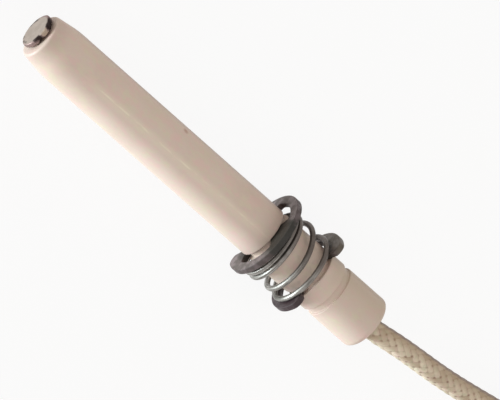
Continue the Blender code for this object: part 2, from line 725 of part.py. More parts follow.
def build():
    clear_scene()
    materials = make_materials()
    # The axis empty's Z axis points to the tip and its X axis points down.
    axis = make_empty("electrode_axis", (0, 0, AXIS_HEIGHT), None, (0, math.pi / 2, 0))
    make_ceramic(materials["ceramic"], axis)
    make_disc(materials["disc"], axis)
    rod_top = along(-DISC_STAND_OFF) - DISC_THICKNESS - GAP
    rod("electrode_rod", ROD_RADIUS, rod_top, along(ROD_REAR), 0.1 * MM, materials["disc"], axis)
    make_clip("front_clip", FRONT_GROOVE, FRONT_CLIP_TURN, materials["clip"], axis)
    make_clip("rear_clip", REAR_GROOVE, REAR_CLIP_TURN, materials["clip"], axis)
    slide = make_empty("spring_slide", (0, 0, along(SPRING_TABLE[0][1] * MM)), axis)
    make_spring(materials["zinc"], slide)
    make_lead_in_socket(materials, axis)
    make_cable("cable_run", RUN_ROUTE, materials["braid"])
    make_hank(materials["braid"])
    make_tie(materials["nylon"])
    make_cable("cable_tail", TAIL_ROUTE, materials["braid"])
    make_terminal(materials)
    make_terminal_end(materials)


build()
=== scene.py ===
"""The looks of a gas burner's ignition electrode: ceramic rod, spark disc, E-clips, spring and lead."""

import math

import bmesh
import bpy
import numpy as np
from mathutils import Matrix, Vector


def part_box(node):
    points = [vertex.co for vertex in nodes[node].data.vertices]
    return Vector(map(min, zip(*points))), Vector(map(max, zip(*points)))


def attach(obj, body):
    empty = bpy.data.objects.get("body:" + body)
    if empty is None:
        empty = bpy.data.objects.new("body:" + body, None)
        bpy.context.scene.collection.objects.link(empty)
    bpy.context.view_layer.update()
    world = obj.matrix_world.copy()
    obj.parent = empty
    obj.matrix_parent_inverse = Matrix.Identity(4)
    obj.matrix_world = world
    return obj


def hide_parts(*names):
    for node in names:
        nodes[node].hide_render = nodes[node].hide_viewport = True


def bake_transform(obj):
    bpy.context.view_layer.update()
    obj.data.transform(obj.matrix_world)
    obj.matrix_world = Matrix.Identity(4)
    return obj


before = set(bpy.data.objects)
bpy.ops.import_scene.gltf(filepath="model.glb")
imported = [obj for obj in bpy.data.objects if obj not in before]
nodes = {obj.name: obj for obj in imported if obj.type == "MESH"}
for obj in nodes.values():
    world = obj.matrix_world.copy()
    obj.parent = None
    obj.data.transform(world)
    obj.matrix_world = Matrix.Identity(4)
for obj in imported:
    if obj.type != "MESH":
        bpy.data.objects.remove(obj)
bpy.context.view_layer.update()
scene = bpy.context.scene
scene.view_settings.view_transform = "Standard"

MM = 0.001
rod_low, rod_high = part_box("ceramic_insulator")
tip_x, rear_x = rod_high.x, rod_low.x
axis_z = (rod_low.z + rod_high.z) / 2

# -------------------- camera
# The electrode is seen from two metres off, so that it has hardly any perspective. The view leans
# from straight above towards the tip, and is turned so that the tip is at the upper left.
CAMERA_DISTANCE = 2.0
CAMERA_LEAN = math.radians(22)
CAMERA_TURN = math.radians(138.5)
VIEW_MIDDLE = (40.57 * MM, -2.24 * MM)  # station behind the tip, and Y
VIEW_WIDTH = 71.25 * MM  # at the rod's distance
SENSOR_WIDTH = 36


def placed(name, data):
    """A new object in the scene."""
    thing = bpy.data.objects.new(name, data)
    scene.collection.objects.link(thing)
    return thing


look_at = Vector((tip_x - VIEW_MIDDLE[0], VIEW_MIDDLE[1], axis_z))
back = Vector((math.sin(CAMERA_LEAN), 0, math.cos(CAMERA_LEAN)))
along_view = Vector((math.cos(CAMERA_LEAN), 0, -math.sin(CAMERA_LEAN)))
across_view = back.cross(along_view)
view_right = math.cos(CAMERA_TURN) * along_view - math.sin(CAMERA_TURN) * across_view
view_up = math.sin(CAMERA_TURN) * along_view + math.cos(CAMERA_TURN) * across_view

camera = placed("camera", bpy.data.cameras.new("camera"))
view_axes = Matrix((view_right, view_up, back)).transposed().to_4x4()
camera.matrix_world = Matrix.Translation(look_at + back * CAMERA_DISTANCE) @ view_axes
camera.data.sensor_width = SENSOR_WIDTH
camera.data.lens = SENSOR_WIDTH * CAMERA_DISTANCE / VIEW_WIDTH
scene.camera = camera


# -------------------- floor, backdrop and light
# A white light table. A soft box stands at its side, a little ahead of the rod's tip and half below
# the table's top, and shines through it. The rest of the light is even and slightly warmer.
FLOOR_HALF = 1.5
FLOOR_DROP = 0.05 * MM
FLOOR_WHITE = (0.9, 0.9, 0.9)
FLOOR_ROUGHNESS = 0.9
BACKDROP_SHARE = 0.88  # of the table that is plain backdrop
AMBIENT = 0.74
AMBIENT_COLOUR = (1.0, 0.96, 0.91)
KEY_DISTANCE = 0.7
KEY_WAY = (0.75, 0.84, -0.18)
KEY_SIZE = (0.4, 0.3)
KEY_COLOUR = (0.82, 0.95, 1.0)
KEY_POWER = 7.2


class Value:
    """A value in a node tree. Arithmetic with it adds Math nodes."""

    def __init__(self, socket):
        self.socket = socket
        self.tree = socket.id_data

    def other(self, name):
        """Another output of the same node."""
        return Value(self.socket.node.outputs[name])

    def clamped(self):
        return add_node(self.tree, "Clamp", {"Value": self})

    def tinted(self, share, tint):
        """The share of a tint over this colour."""
        return add_node(self.tree, "Mix", {0: share, 6: self, 7: tint}, 2, data_type="RGBA")

    def __rsub__(self, number):
        return math_node("SUBTRACT", number, self)


OPERATORS = {"add": "ADD", "sub": "SUBTRACT", "mul": "MULTIPLY", "truediv": "DIVIDE"}
OPERATORS |= {"mod": "FLOORED_MODULO", "pow": "POWER", "abs": "ABSOLUTE"}
for method, kind in OPERATORS.items():
    setattr(Value, f"__{method}__", lambda *values, kind=kind: math_node(kind, *values))


def put(socket, value):
    """Links the input to a value in its tree, or sets it to plain numbers."""
    if isinstance(value, Value):
        value.tree.links.new(value.socket, socket)
    elif socket.type == "RGBA":
        socket.default_value = (*value, 1.0)
    else:
        socket.default_value = value


def add_node(tree, kind, inputs=None, output=0, **settings):
    """One output of a new node, its inputs linked or set. A kind without Node is a ShaderNode."""
    node = tree.nodes.new(kind if "Node" in kind else "ShaderNode" + kind)
    for name, setting in settings.items():
        setattr(node, name, setting)
    for name, value in (inputs or {}).items():
        put(node.inputs[name], value)
    return Value(node.outputs[output])


def math_node(operation, *values):
    """A Math node on values and plain numbers."""
    tree = next(value.tree for value in values if isinstance(value, Value))
    return add_node(tree, "Math", dict(enumerate(values)), operation=operation)


def new_finish(name, metallic=0.0):
    """A material. Gives it with its tree and its Principled shader."""
    finish = bpy.data.materials.new(name)
    finish.use_nodes = True
    shader = finish.node_tree.nodes["Principled BSDF"]
    put(shader.inputs["Metallic"], metallic)
    return finish, finish.node_tree, shader


def show_backdrop(tree, lit, plain, share, end):
    """The camera sees the share of a plain shader, also in metal or through glass. All other light
    comes from the lit one."""
    path = add_node(tree, "LightPath", output="Is Camera Ray")
    seen = math_node("MAXIMUM", path, path.other("Is Glossy Ray"))
    seen = math_node("MAXIMUM", seen, path.other("Is Transmission Ray"))
    put(end, add_node(tree, "MixShader", {0: seen * share, 1: lit, 2: plain}))


world = bpy.data.worlds.new("studio")
scene.world = world
world.use_nodes = True
sky = world.node_tree
ambient = sky.nodes["Background"]
put(ambient.inputs["Color"], AMBIENT_COLOUR)
put(ambient.inputs["Strength"], AMBIENT)
backdrop = add_node(sky, "Background", {"Color": (1, 1, 1)})
sky_end = sky.nodes["World Output"].inputs["Surface"]
show_backdrop(sky, Value(ambient.outputs[0]), backdrop, 1.0, sky_end)

floor_mesh = bpy.data.meshes.new("floor")
floor_corners = [(-1, -1), (1, -1), (1, 1), (-1, 1)]
floor_corners = [(x * FLOOR_HALF, y * FLOOR_HALF, -FLOOR_DROP) for x, y in floor_corners]
floor_mesh.from_pydata(floor_corners, [], [(0, 1, 2, 3)])
floor = placed("floor", floor_mesh)
floor_finish, floor_tree, floor_shader = new_finish("floor_white")
put(floor_shader.inputs["Base Color"], FLOOR_WHITE)
put(floor_shader.inputs["Roughness"], FLOOR_ROUGHNESS)
floor_end = floor_tree.nodes["Material Output"].inputs["Surface"]
floor_glow = add_node(floor_tree, "Emission")
show_backdrop(floor_tree, Value(floor_shader.outputs[0]), floor_glow, BACKDROP_SHARE, floor_end)
floor_mesh.materials.append(floor_finish)
floor.visible_shadow = False

key = placed("key_light", bpy.data.lights.new("key_light", "AREA"))
key.data.shape = "RECTANGLE"
key.data.size, key.data.size_y = KEY_SIZE
key.data.energy = KEY_POWER
key.data.color = KEY_COLOUR
key_way = Vector(KEY_WAY).normalized()
key.location = Vector((0, 0, axis_z)) + key_way * KEY_DISTANCE
key.rotation_euler = key_way.to_track_quat("Z", "Y").to_euler()
key.visible_camera = False


# -------------------- high-voltage lead
# A silicone-covered wire in a braid of glass-fibre yarn, 3.3 mm across. It leaves the ceramic, comes
# down to the surface, is folded into a hank of five runs held by a tie, and ends in its terminal.
LEAD_RADIUS = 1.65 * MM
LEAD_SIDES = 48
LEAD_STEP = 0.4 * MM
BRAID_CARRIERS = 8  # yarns each way
BRAID_LAY = 12 * MM  # one turn of a yarn
BRAID_RELIEF = 0.11 * MM
LEAD_INSIDE = (10.0, 6.0, 2.5)  # ahead of the ceramic's rear end, in mm
# x, y and z in mm, from the ceramic to the hank
LEAD_RUN = [(-34.25, 0.0, 6.8), (-36.2, -0.1, 6.78), (-38.5, -0.42, 6.66), (-41.0, -0.72, 6.4)]
LEAD_RUN += [(-44.0, -0.98, 5.92), (-47.0, -1.22, 5.26), (-50.0, -1.52, 4.48), (-53.0, -1.91, 3.7)]
LEAD_RUN += [(-56.0, -2.36, 2.98), (-59.0, -2.85, 2.3), (-61.4, -3.25, 2.0), (-65.0, -3.95, 1.78)]
LEAD_RUN += [(-69.0, -4.6, 1.69)]
# x and z in mm, from the hank to the terminal
LEAD_TAIL = [(-127.0, 8.48), (-131.0, 8.5), (-135.6, 8.47), (-138.0, 8.3), (-141.0, 7.65), (-144.0, 6.6)]
LEAD_TAIL += [(-147.0, 5.4), (-150.0, 4.28), (-152.5, 3.58), (-155.0, 3.27), (-156.5, 3.25), (-158.2, 3.25)]
TAIL_Y = -5.0
HANK_NEAR = -73.65 * MM
HANK_FAR = -123.65 * MM
HANK_MIDDLE_Y = 5 * MM
FOLD_RADIUS = 10 * MM
WAIST = 1.75 * MM
WAIST_LIFT = 1.25 * MM
WAIST_LIFT_LENGTH = 24 * MM
STRAND_LEVEL = 3.4 * MM
STRAND_REST = LEAD_RADIUS + 0.02 * MM
CLIMB = 23 * MM  # of a fold, in which it gets on top of the one below
RUN_STEPS = 26
FOLD_STEPS = 16


def hank_run(start, end, side, level):
    """A strand of the hank. side is -1 or 1, and the strands come close together at the tie."""
    places = []
    for step in range(RUN_STEPS):
        x = start + (end - start) * step / RUN_STEPS
        swell = 0.5 + 0.5 * math.cos(math.tau * (x - HANK_FAR) / (HANK_NEAR - HANK_FAR))
        nearness = min(abs(x - (HANK_NEAR + HANK_FAR) / 2) / WAIST_LIFT_LENGTH, 1.0)
        lift = WAIST_LIFT * (0.5 + 0.5 * math.cos(math.pi * nearness))
        y = HANK_MIDDLE_Y + side * (WAIST + (FOLD_RADIUS - WAIST) * swell)
        places.append(Vector((x, y, STRAND_REST + STRAND_LEVEL * level + lift)))
    return places


def ramp(value, low, high):
    t = min(max((value - low) / (high - low), 0.0), 1.0)
    return t * t * (3 - 2 * t)


def hank_fold(centre_x, way, level, climbs):
    """A half turn to the hank's other side, a level up if it climbs. way is 1 near and -1 far."""
    places = []
    for step in range(FOLD_STEPS):
        turn = math.pi * step / FOLD_STEPS
        rise = ramp(turn * FOLD_RADIUS, 0, CLIMB) if climbs else 0
        x = centre_x + way * FOLD_RADIUS * math.sin(turn)
        y = HANK_MIDDLE_Y + way * FOLD_RADIUS * math.cos(turn)
        places.append(Vector((x, y, STRAND_REST + STRAND_LEVEL * (level + rise))))
    return places


def smooth_line(knots, spacing):
    """Points about one spacing apart on a smooth curve through the knots."""
    ends = [2 * knots[0] - knots[1], 2 * knots[-1] - knots[-2]]
    knots = [ends[0], *knots, ends[1]]
    line = []
    for a, b, c, d in zip(knots, knots[1:], knots[2:], knots[3:]):
        steps = max(1, round((c - b).length / spacing))
        for i in range(steps):
            t = i / steps
            bend = (2 * a - 5 * b + 4 * c - d) * t**2 + (3 * b - a - 3 * c + d) * t**3
            line.append(0.5 * (2 * b + (c - a) * t + bend))
    return [*line, knots[-2]]


lead_route = [Vector((rear_x + ahead * MM, 0, axis_z)) for ahead in LEAD_INSIDE]
lead_route += [Vector(place) * MM for place in LEAD_RUN]
for strand_level in range(2):
    lead_route += hank_run(HANK_NEAR, HANK_FAR, -1, strand_level)
    lead_route += hank_fold(HANK_FAR, -1, strand_level, False)
    lead_route += hank_run(HANK_FAR, HANK_NEAR, 1, strand_level)
    lead_route += hank_fold(HANK_NEAR, 1, strand_level, True)
lead_route += hank_run(HANK_NEAR, HANK_FAR, -1, 2)
lead_route += [Vector((x, TAIL_Y, z)) * MM for x, z in LEAD_TAIL]
lead_line = smooth_line(lead_route, LEAD_STEP)


def smooth_step(value, low, high):
    """0 below low and 1 above high, with a soft start and end."""
    inputs = {"Value": value, "From Min": low, "From Max": high}
    return add_node(value.tree, "MapRange", inputs, interpolation_type="SMOOTHSTEP")


def crown(value, power):
    """1 in the middle of 0 to 1 and 0 at its ends, rounder for a higher power."""
    return 1 - abs(value * 2 - 1) ** power


def braid_pattern(turn, length):
    """Two yarns over and two under, each way. Gives the height, the number of the yarn on top, the
    place across it, and how near a hole is."""
    slope = length / BRAID_LAY
    right, left = (turn + slope) * BRAID_CARRIERS, (turn - slope) * BRAID_CARRIERS
    right_part, left_part = (math_node("FRACT", lay) for lay in (right, left))
    right_number, left_number = (math_node("FLOOR", lay) for lay in (right, left))
    left_over = math_node("GREATER_THAN", (right_number + left_number) % 4, 1.5)
    right_over = 1 - left_over

    def of_top(from_right, from_left):
        return from_right * right_over + from_left * left_over

    across = of_top(right_part, left_part)
    way = of_top((right_number + left) % 4 * 0.5, (left_number + right) % 4 * 0.5 - 1).clamped()
    height = crown(across, 2.2) * (crown(way, 2.5) * 0.6 + 0.4)
    number = of_top(right_number % 8, left_number % 8 + 20)
    gap = math_node("MINIMUM", abs(right_part - 0.5), abs(left_part - 0.5))
    return height, number, across, smooth_step(gap, 0.2, 0.46)


def new_group(name, kind, inputs, outputs):
    """An empty node group: its tree, its inputs as values by name, and its output's sockets."""
    tree = bpy.data.node_groups.new(name, kind + "NodeTree")
    for way, sockets in (("INPUT", inputs), ("OUTPUT", outputs)):
        for socket_name, socket_kind in sockets.items():
            tree.interface.new_socket(name=socket_name, in_out=way, socket_type="NodeSocket" + socket_kind)
    given = {socket.name: Value(socket) for socket in tree.nodes.new("NodeGroupInput").outputs}
    return tree, given, tree.nodes.new("NodeGroupOutput").inputs


def path_sweep_tree(name, braided):
    """Sweeps a round section along the curve and keeps where each point is, round it and along it."""
    inputs = {"Path": "Geometry", "Radius": "Float", "Sides": "Int", "Finish": "Material"}
    tree, given, result = new_group(name, "Geometry", inputs, {"Solid": "Geometry"})

    def kept(curve, measure):
        """The curve, and how far round or along it each point is."""
        capture = tree.nodes.new("GeometryNodeCaptureAttribute")
        capture.capture_items.new("FLOAT", measure)
        put(capture.inputs[0], curve)
        put(capture.inputs[1], add_node(tree, "GeometryNodeSplineParameter", output=measure))
        return Value(capture.outputs[0]), Value(capture.outputs[1])

    circle = {"Resolution": given["Sides"], "Radius": given["Radius"]}
    section, around = kept(add_node(tree, "GeometryNodeCurvePrimitiveCircle", circle), "Factor")
    path, length = kept(given["Path"], "Length")
    sweep = {"Curve": path, "Profile Curve": section, "Fill Caps": True}
    solid = add_node(tree, "GeometryNodeCurveToMesh", sweep)
    if braided:
        depth = (braid_pattern(around, length)[0] - 1) * BRAID_RELIEF
        normal = add_node(tree, "GeometryNodeInputNormal")
        shift = add_node(tree, "VectorMath", {0: normal, "Scale": depth}, operation="SCALE")
        solid = add_node(tree, "GeometryNodeSetPosition", {"Geometry": solid, "Offset": shift})
    angle = around * math.tau
    where = {"X": math_node("COSINE", angle), "Y": math_node("SINE", angle), "Z": length}
    where = add_node(tree, "CombineXYZ", where)
    stored = {"Geometry": solid, "Name": "on_path", "Value": where}
    solid = add_node(tree, "GeometryNodeStoreNamedAttribute", stored, data_type="FLOAT_VECTOR")
    solid = add_node(tree, "GeometryNodeSetShadeSmooth", {"Geometry": solid})
    coated = {"Geometry": solid, "Material": given["Finish"]}
    put(result["Solid"], add_node(tree, "GeometryNodeSetMaterial", coated))
    return tree


def grown(name, points, tree, **settings):
    """The plain mesh that a geometry tree makes along the points. settings are the tree's inputs."""
    curve = bpy.data.curves.new(name + "_path", "CURVE")
    curve.dimensions = "3D"
    curve.twist_mode = "MINIMUM"
    line = curve.splines.new("POLY")
    line.points.add(len(points) - 1)
    for point, place in zip(line.points, points):
        point.co = (*place, 1.0)
    source = placed(name + "_source", curve)
    modifier = source.modifiers.new("grow", "NODES")
    modifier.node_group = tree
    for item in tree.interface.items_tree:
        if item.name in settings:
            modifier[item.identifier] = settings[item.name]
    bpy.context.view_layer.update()
    shown = source.evaluated_get(bpy.context.evaluated_depsgraph_get())
    mesh = bpy.data.meshes.new_from_object(shown)
    mesh.name = name
    source.modifiers.remove(modifier)
    bpy.data.objects.remove(source)
    return placed(name, mesh)


def noise(place, scale, detail=3.0, roughness=0.55):
    inputs = {"Vector": place, "Scale": scale, "Detail": detail, "Roughness": roughness}
    return add_node(place.tree, "TexNoise", inputs)


def vector_math(operation, vector, second):
    return add_node(vector.tree, "VectorMath", {0: vector, 1: second}, operation=operation)


def split_vector(vector):
    parts = add_node(vector.tree, "SeparateXYZ", {0: vector})
    return [parts.other(axis) for axis in "XYZ"]


def braid_group():
    """The braid's colour, height and roughness, from the place on the path that its mesh keeps."""
    inputs = {"Place": "Vector", "Yarn": "Color", "Shaded yarn": "Color", "Hole": "Color"}
    outputs = {"Colour": "Color", "Height": "Float", "Roughness": "Float"}
    tree, given, result = new_group("glass_braid", "Shader", inputs, outputs)
    cosine, sine, length = split_vector(given["Place"])
    turn = math_node("ARCTAN2", sine, cosine) / math.tau
    height, number, across, hole = braid_pattern(turn, length)
    stretched = vector_math("MULTIPLY", given["Place"], (1, 1, 600))
    cloud = noise(stretched, 1.2)
    fibres = math_node("SINE", across * 38 + cloud * 9) * 0.5 + 0.5
    dice = add_node(tree, "TexWhiteNoise", {"W": number}, "Value", noise_dimensions="1D")
    # Yarn and shaded yarn are a lit and a shaded tone of one yarn, mixed at random yarn by yarn as painted
    # glints and shade.
    colour = given["Yarn"].tinted(cloud * 0.35 + dice * 0.85, given["Shaded yarn"])
    # Painted shade darkens the furrows between the fibres to the hole colour.
    furrow = (1 - fibres) * 0.16
    colour = colour.tinted(furrow, given["Hole"])
    for tint, shift in (((0.68, 0.46, 0.42), 0.0), ((0.5, 0.53, 0.36), 7.0)):
        tint_place = vector_math("ADD", stretched, (shift, 0, 0))
        tinted = smooth_step(noise(tint_place, 2.2, 2), 0.48, 0.66)
        colour = colour.tinted(tinted * 0.38, tint)
    # Painted shade darkens the low places between the yarns, and the holes, to the hole colour.
    low = 1 - smooth_step(height, 0.02, 0.5)
    colour = colour.tinted(low * 0.26, given["Hole"])
    dot = hole * smooth_step(cloud, 0.38, 0.62)
    put(result["Colour"], colour.tinted(dot * 0.75, given["Hole"]))
    put(result["Height"], fibres * 0.12 + height)
    put(result["Roughness"], furrow * 0.8 + 0.62)
    return tree


def attribute(tree, name, output="Vector"):
    return add_node(tree, "Attribute", output=output, attribute_name=name)


def put_group(tree, group, **values):
    """A node group in a material, with its named inputs set or linked. Gives its first output."""
    inputs = {name.replace("_", " ").capitalize(): value for name, value in values.items()}
    return add_node(tree, "Group", inputs, node_tree=group)


def paint(shader, colour, roughness, height, depth, strength=1.0):
    """Gives the shader its colour and roughness, and bumps it by a height that goes depth deep."""
    put(shader.inputs["Base Color"], colour)
    put(shader.inputs["Roughness"], roughness)
    bump = {"Height": height, "Distance": depth, "Strength": strength}
    put(shader.inputs["Normal"], add_node(shader.id_data, "Bump", bump))


glass_yarn, yarn_tree, yarn_shader = new_finish("glass_yarn")
# The yarn and shaded yarn are lit and shaded tones of one yarn; the hole colour is painted shade.
braid = put_group(
    yarn_tree,
    braid_group(),
    place=attribute(yarn_tree, "on_path"),
    yarn=(0.9, 0.8, 0.63),
    shaded_yarn=(0.52, 0.41, 0.29),
    hole=(0.22, 0.11, 0.07),
)
# Painted shade: the side facing -Y, away from the soft box, is darkened brown, and darker still at its very
# edge.
facing = split_vector(add_node(yarn_tree, "NewGeometry", output="Normal"))[1]
yarn_colour_with_painted_shade = braid.tinted(smooth_step(facing, 0.2, -0.9) * 0.68, (0.4, 0.29, 0.18))
yarn_colour_with_painted_shade = yarn_colour_with_painted_shade.tinted(smooth_step(facing, -0.74, -0.98) * 0.7, (0.17, 0.11, 0.11))
put(yarn_shader.inputs["Sheen Weight"], 0.15)
paint(yarn_shader, yarn_colour_with_painted_shade, braid.other("Roughness"), braid.other("Height"), 0.1 * MM, 0.55)

lead_sweep = path_sweep_tree("braided_lead", True)
lead = grown("lead", lead_line, lead_sweep, Radius=LEAD_RADIUS, Sides=LEAD_SIDES, Finish=glass_yarn)
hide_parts("braid_end", "cable_run", "cable_hank", "cable_tail")
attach(lead, "insulator")


# -------------------- ceramic rod
# A steatite rod, dry pressed and turned before firing, with a satin unglazed skin. Three grooves for
# clips are ground in it, and its rear end has a socket for the lead.
ROD_SEGMENTS = 144
TIP_RADIUS = 3.58 * MM
NOSE_RADIUS = 4.1 * MM
NOSE_LENGTH = 3.9 * MM
BODY_RADIUS = 4.25 * MM
GROOVE_RADIUS = 3.5 * MM
GROOVE_WIDTH = 1.1 * MM
SPARE_GROOVE_RADIUS = 3.9 * MM
GROOVES = [  # station, radius before it, in it and after it, and how far its edges are eased
    (45.9 * MM, NOSE_RADIUS, GROOVE_RADIUS, NOSE_RADIUS, (0.16, 0.12, 0.12, 0.16)),
    (54.6 * MM, NOSE_RADIUS, GROOVE_RADIUS, BODY_RADIUS, (0.16, 0.12, 0.12, 0.16)),
    (58.5 * MM, BODY_RADIUS, SPARE_GROOVE_RADIUS, BODY_RADIUS, (0.5, 0.5, 0.5, 0.25)),
]
ROD_BORE = 1.05 * MM
SOCKET_RADIUS = 1.95 * MM
MOUTH_RADIUS = 2.9 * MM
MOUTH_DEPTH = 6 * MM
SOCKET_DEPTH = 27 * MM
YELLOW_CLOUD, PINK_CLOUD = (0.66, 0.6, 0.44), (0.74, 0.5, 0.47)
IRON_PLACE = (25.4 * MM, -3.55 * MM)  # station and Y


def eased(corners, ease, steps=3):
    """The closed outline with its corners rounded off by ease, times a corner's third value."""
    points = [Vector(corner[:2]) for corner in corners]
    sizes = [ease * math.prod(corner[2:]) for corner in corners]
    rounded = []
    for i, corner in enumerate(points):
        before, after = points[i - 1] - corner, points[(i + 1) % len(points)] - corner
        size = min(sizes[i], 0.45 * before.length, 0.45 * after.length)
        if size == 0:
            rounded.append(corner)
            continue
        start, end = corner + before.normalized() * size, corner + after.normalized() * size
        for step in range(steps + 1):
            t = step / steps
            rounded.append(start * (1 - t) ** 2 + corner * 2 * t * (1 - t) + end * t**2)
    return rounded


def stitch(solid, rings, closed=False):
    """Faces between each ring of corners and the next. The ends are filled, or joined if closed."""
    for ring, other in zip(rings, rings[1:] + rings[:1] if closed else rings[1:]):
        count = max(len(ring), len(other))
        for i in range(count):
            j = (i + 1) % count
            corners = [ring[i % len(ring)], ring[j % len(ring)]]
            corners += [other[j % len(other)], other[i % len(other)]]
            solid.faces.new(list(dict.fromkeys(corners)))
    for ring in (rings[0], rings[-1]):
        if len(ring) > 1 and not closed:
            solid.faces.new(ring)


def turned(outline, segments, centre, closed=True, swell=None):
    """An outline of (x, radius) turned about a line along X through centre, (y, z). An open outline
    starts and ends on that line. swell gives what a place, (x, radius, turn), stands out."""
    solid = bmesh.new()
    rings = []
    for x, radius in outline:
        if radius < 1e-7:
            rings.append([solid.verts.new((x, *centre))])
            continue
        ring = []
        for i in range(segments):
            turn = math.tau * i / segments
            out = radius + (swell(x, radius, turn) if swell else 0.0)
            place = (x, centre[0] + out * math.sin(turn), centre[1] + out * math.cos(turn))
            ring.append(solid.verts.new(place))
        rings.append(ring)
    stitch(solid, rings, closed)
    return solid


def finished(name, solid, finish, node_name, smooth_angle=35):
    """The solid as a piece of the slot's material, smooth but for its sharp edges. It stands for the
    CAD node and rides with the ceramic."""
    bmesh.ops.recalc_face_normals(solid, faces=solid.faces)
    mesh = bpy.data.meshes.new(name)
    solid.to_mesh(mesh)
    solid.free()
    mesh.shade_smooth()
    mesh.set_sharp_from_angle(angle=math.radians(smooth_angle))
    mesh.materials.append(finish)
    piece = placed(name, mesh)
    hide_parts(node_name)
    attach(piece, "insulator")
    return piece


def behind_tip(station):
    return tip_x - station


def object_place(tree, stretch=(1, 1, 1), centre=(0, 0, 0)):
    """Object coordinates about a centre, each axis stretched."""
    source = add_node(tree, "TexCoord", output="Object")
    shift = [-c * k for c, k in zip(centre, stretch)]
    return add_node(tree, "Mapping", {"Vector": source, "Location": shift, "Scale": stretch})


def place_parts(tree, centre):
    """X, Y and Z about a centre, in mm."""
    return split_vector(object_place(tree, [1 / MM] * 3, centre))


def distance(tree, centre, along=1.0):
    """How far a place is from the centre, in mm, or from a line along X when along is 0."""
    place = {0: object_place(tree, (along / MM, 1 / MM, 1 / MM), centre)}
    return add_node(tree, "VectorMath", place, "Value", operation="LENGTH")


def band(value, low, high, soft):
    """1 between low and high, with soft ends."""
    return smooth_step(value, low - soft, low + soft) - smooth_step(value, high - soft, high + soft)


def mottle_group():
    """Clouds, fine grain and specks of a fired or moulded mass, in its own three colours."""
    inputs = {"Place": "Vector", "Pale": "Color", "Deep": "Color", "Speck": "Color", "Specks": "Float"}
    outputs = {"Colour": "Color", "Grain": "Float"}
    tree, given, result = new_group("mottled_mass", "Shader", inputs, outputs)
    clouds = smooth_step(noise(given["Place"], 140, 4), 0.3, 0.72)
    grain = noise(given["Place"], 2600, 5, 0.65)
    colour = given["Pale"].tinted(grain * 0.5 + clouds * 0.6, given["Deep"])
    cells = {"Vector": given["Place"], "Scale": 420}
    cells = add_node(tree, "TexVoronoi", cells, "Distance")
    chosen = math_node("LESS_THAN", split_vector(cells.other("Color"))[0], given["Specks"])
    speck = (1 - smooth_step(cells, 0.05, 0.13)) * chosen
    put(result["Colour"], colour.tinted(speck, given["Speck"]))
    put(result["Grain"], grain)
    return tree


mottle = mottle_group()


def mass_finish(name, roughness, grainy, depth, strength, **mass):
    """A mottled mass, rougher where its grain is high. Gives its finish, its shader and its colour."""
    finish, tree, shader = new_finish(name)
    colour = put_group(tree, mottle, place=object_place(tree), **mass)
    grain = colour.other("Grain")
    paint(shader, colour, grain * grainy + roughness if grainy else roughness, grain, depth, strength)
    return finish, shader, colour


steatite, stone_shader, stone = mass_finish(
    "steatite", 0.36, 0.25, 0.02 * MM, 0.5, pale=(0.69, 0.575, 0.5), deep=(0.64, 0.505, 0.43),
    speck=(0.4, 0.27, 0.2), specks=0.03,
)
stone_x, stone_y, stone_z = place_parts(stone.tree, (tip_x, 0, axis_z))
# Iron and titania in the mass fire to faint yellow-green and pink clouds, large and small.
for tint, shift, scale, share in (
    (YELLOW_CLOUD, 0.0, 520, 0.5),
    (PINK_CLOUD, 0.37, 520, 0.5),
    (YELLOW_CLOUD, 0.61, 1500, 0.4),
    (PINK_CLOUD, 0.83, 1500, 0.4),
):
    clouds = noise(object_place(stone.tree, (0.6, 1, 1), (shift, 0, 0)), scale, 3)
    stone = stone.tinted(smooth_step(clouds, 0.48, 0.7) * share, tint)
# A painted highlight runs along the top of the rod: a pale band, with a broken thin line in it.
highlight_room = smooth_step(stone_z, 3, 4) * band(stone_x, -44, -9, 3)
highlight_gaps = smooth_step(noise(object_place(stone.tree, (0.3, 1, 1)), 1100, 3), 0.42, 0.62)
highlight_line = band(stone_y, 0.02, 0.24, 0.12) * highlight_gaps
painted_highlight = band(stone_y, -0.35, 0.85, 0.45) * 0.35 + highlight_line * 0.6
stone = stone.tinted(painted_highlight * highlight_room, (0.84, 0.75, 0.6))
# Painted shade: the side facing -Y, away from the soft box, is faintly browner, and darker at its very
# edge.
stone = stone.tinted(smooth_step(stone_y, -0.5, -4.1) * 0.2, (0.5, 0.36, 0.23))
stone = stone.tinted(smooth_step(stone_y, -3.7, -4.1) * 0.5, (0.34, 0.25, 0.22))
# One grain of iron has bled through the skin.
iron_height = math.sqrt(NOSE_RADIUS**2 - IRON_PLACE[1] ** 2)
iron = distance(stone.tree, (behind_tip(IRON_PLACE[0]), IRON_PLACE[1], axis_z + iron_height))
stone = stone.tinted(smooth_step(iron, 0.65, 0.12) * 0.6, (0.36, 0.16, 0.11))
# The rear end was held while it was fired, and is browner there.
browner = smooth_step(stone_x, -55, -57) * smooth_step(stone_y, 2, -4)
stone = stone.tinted(browner * 0.5, (0.46, 0.37, 0.27))
# The clips and the spring have rubbed it grey. The grooves are darkened, as dirt and as painted shade.
rubbed = smooth_step(noise(object_place(stone.tree), 900, 4), 0.52, 0.68)
rubbed *= band(stone_x, -55.6, -45.2, 0.5)
stone = stone.tinted(rubbed * 0.2, (0.34, 0.31, 0.28))
in_groove = smooth_step(distance(stone.tree, (0, 0, axis_z), 0), 4.02, 3.6)
stone = stone.tinted(in_groove * 0.28, (0.38, 0.28, 0.24))
put(stone_shader.inputs["Base Color"], stone)

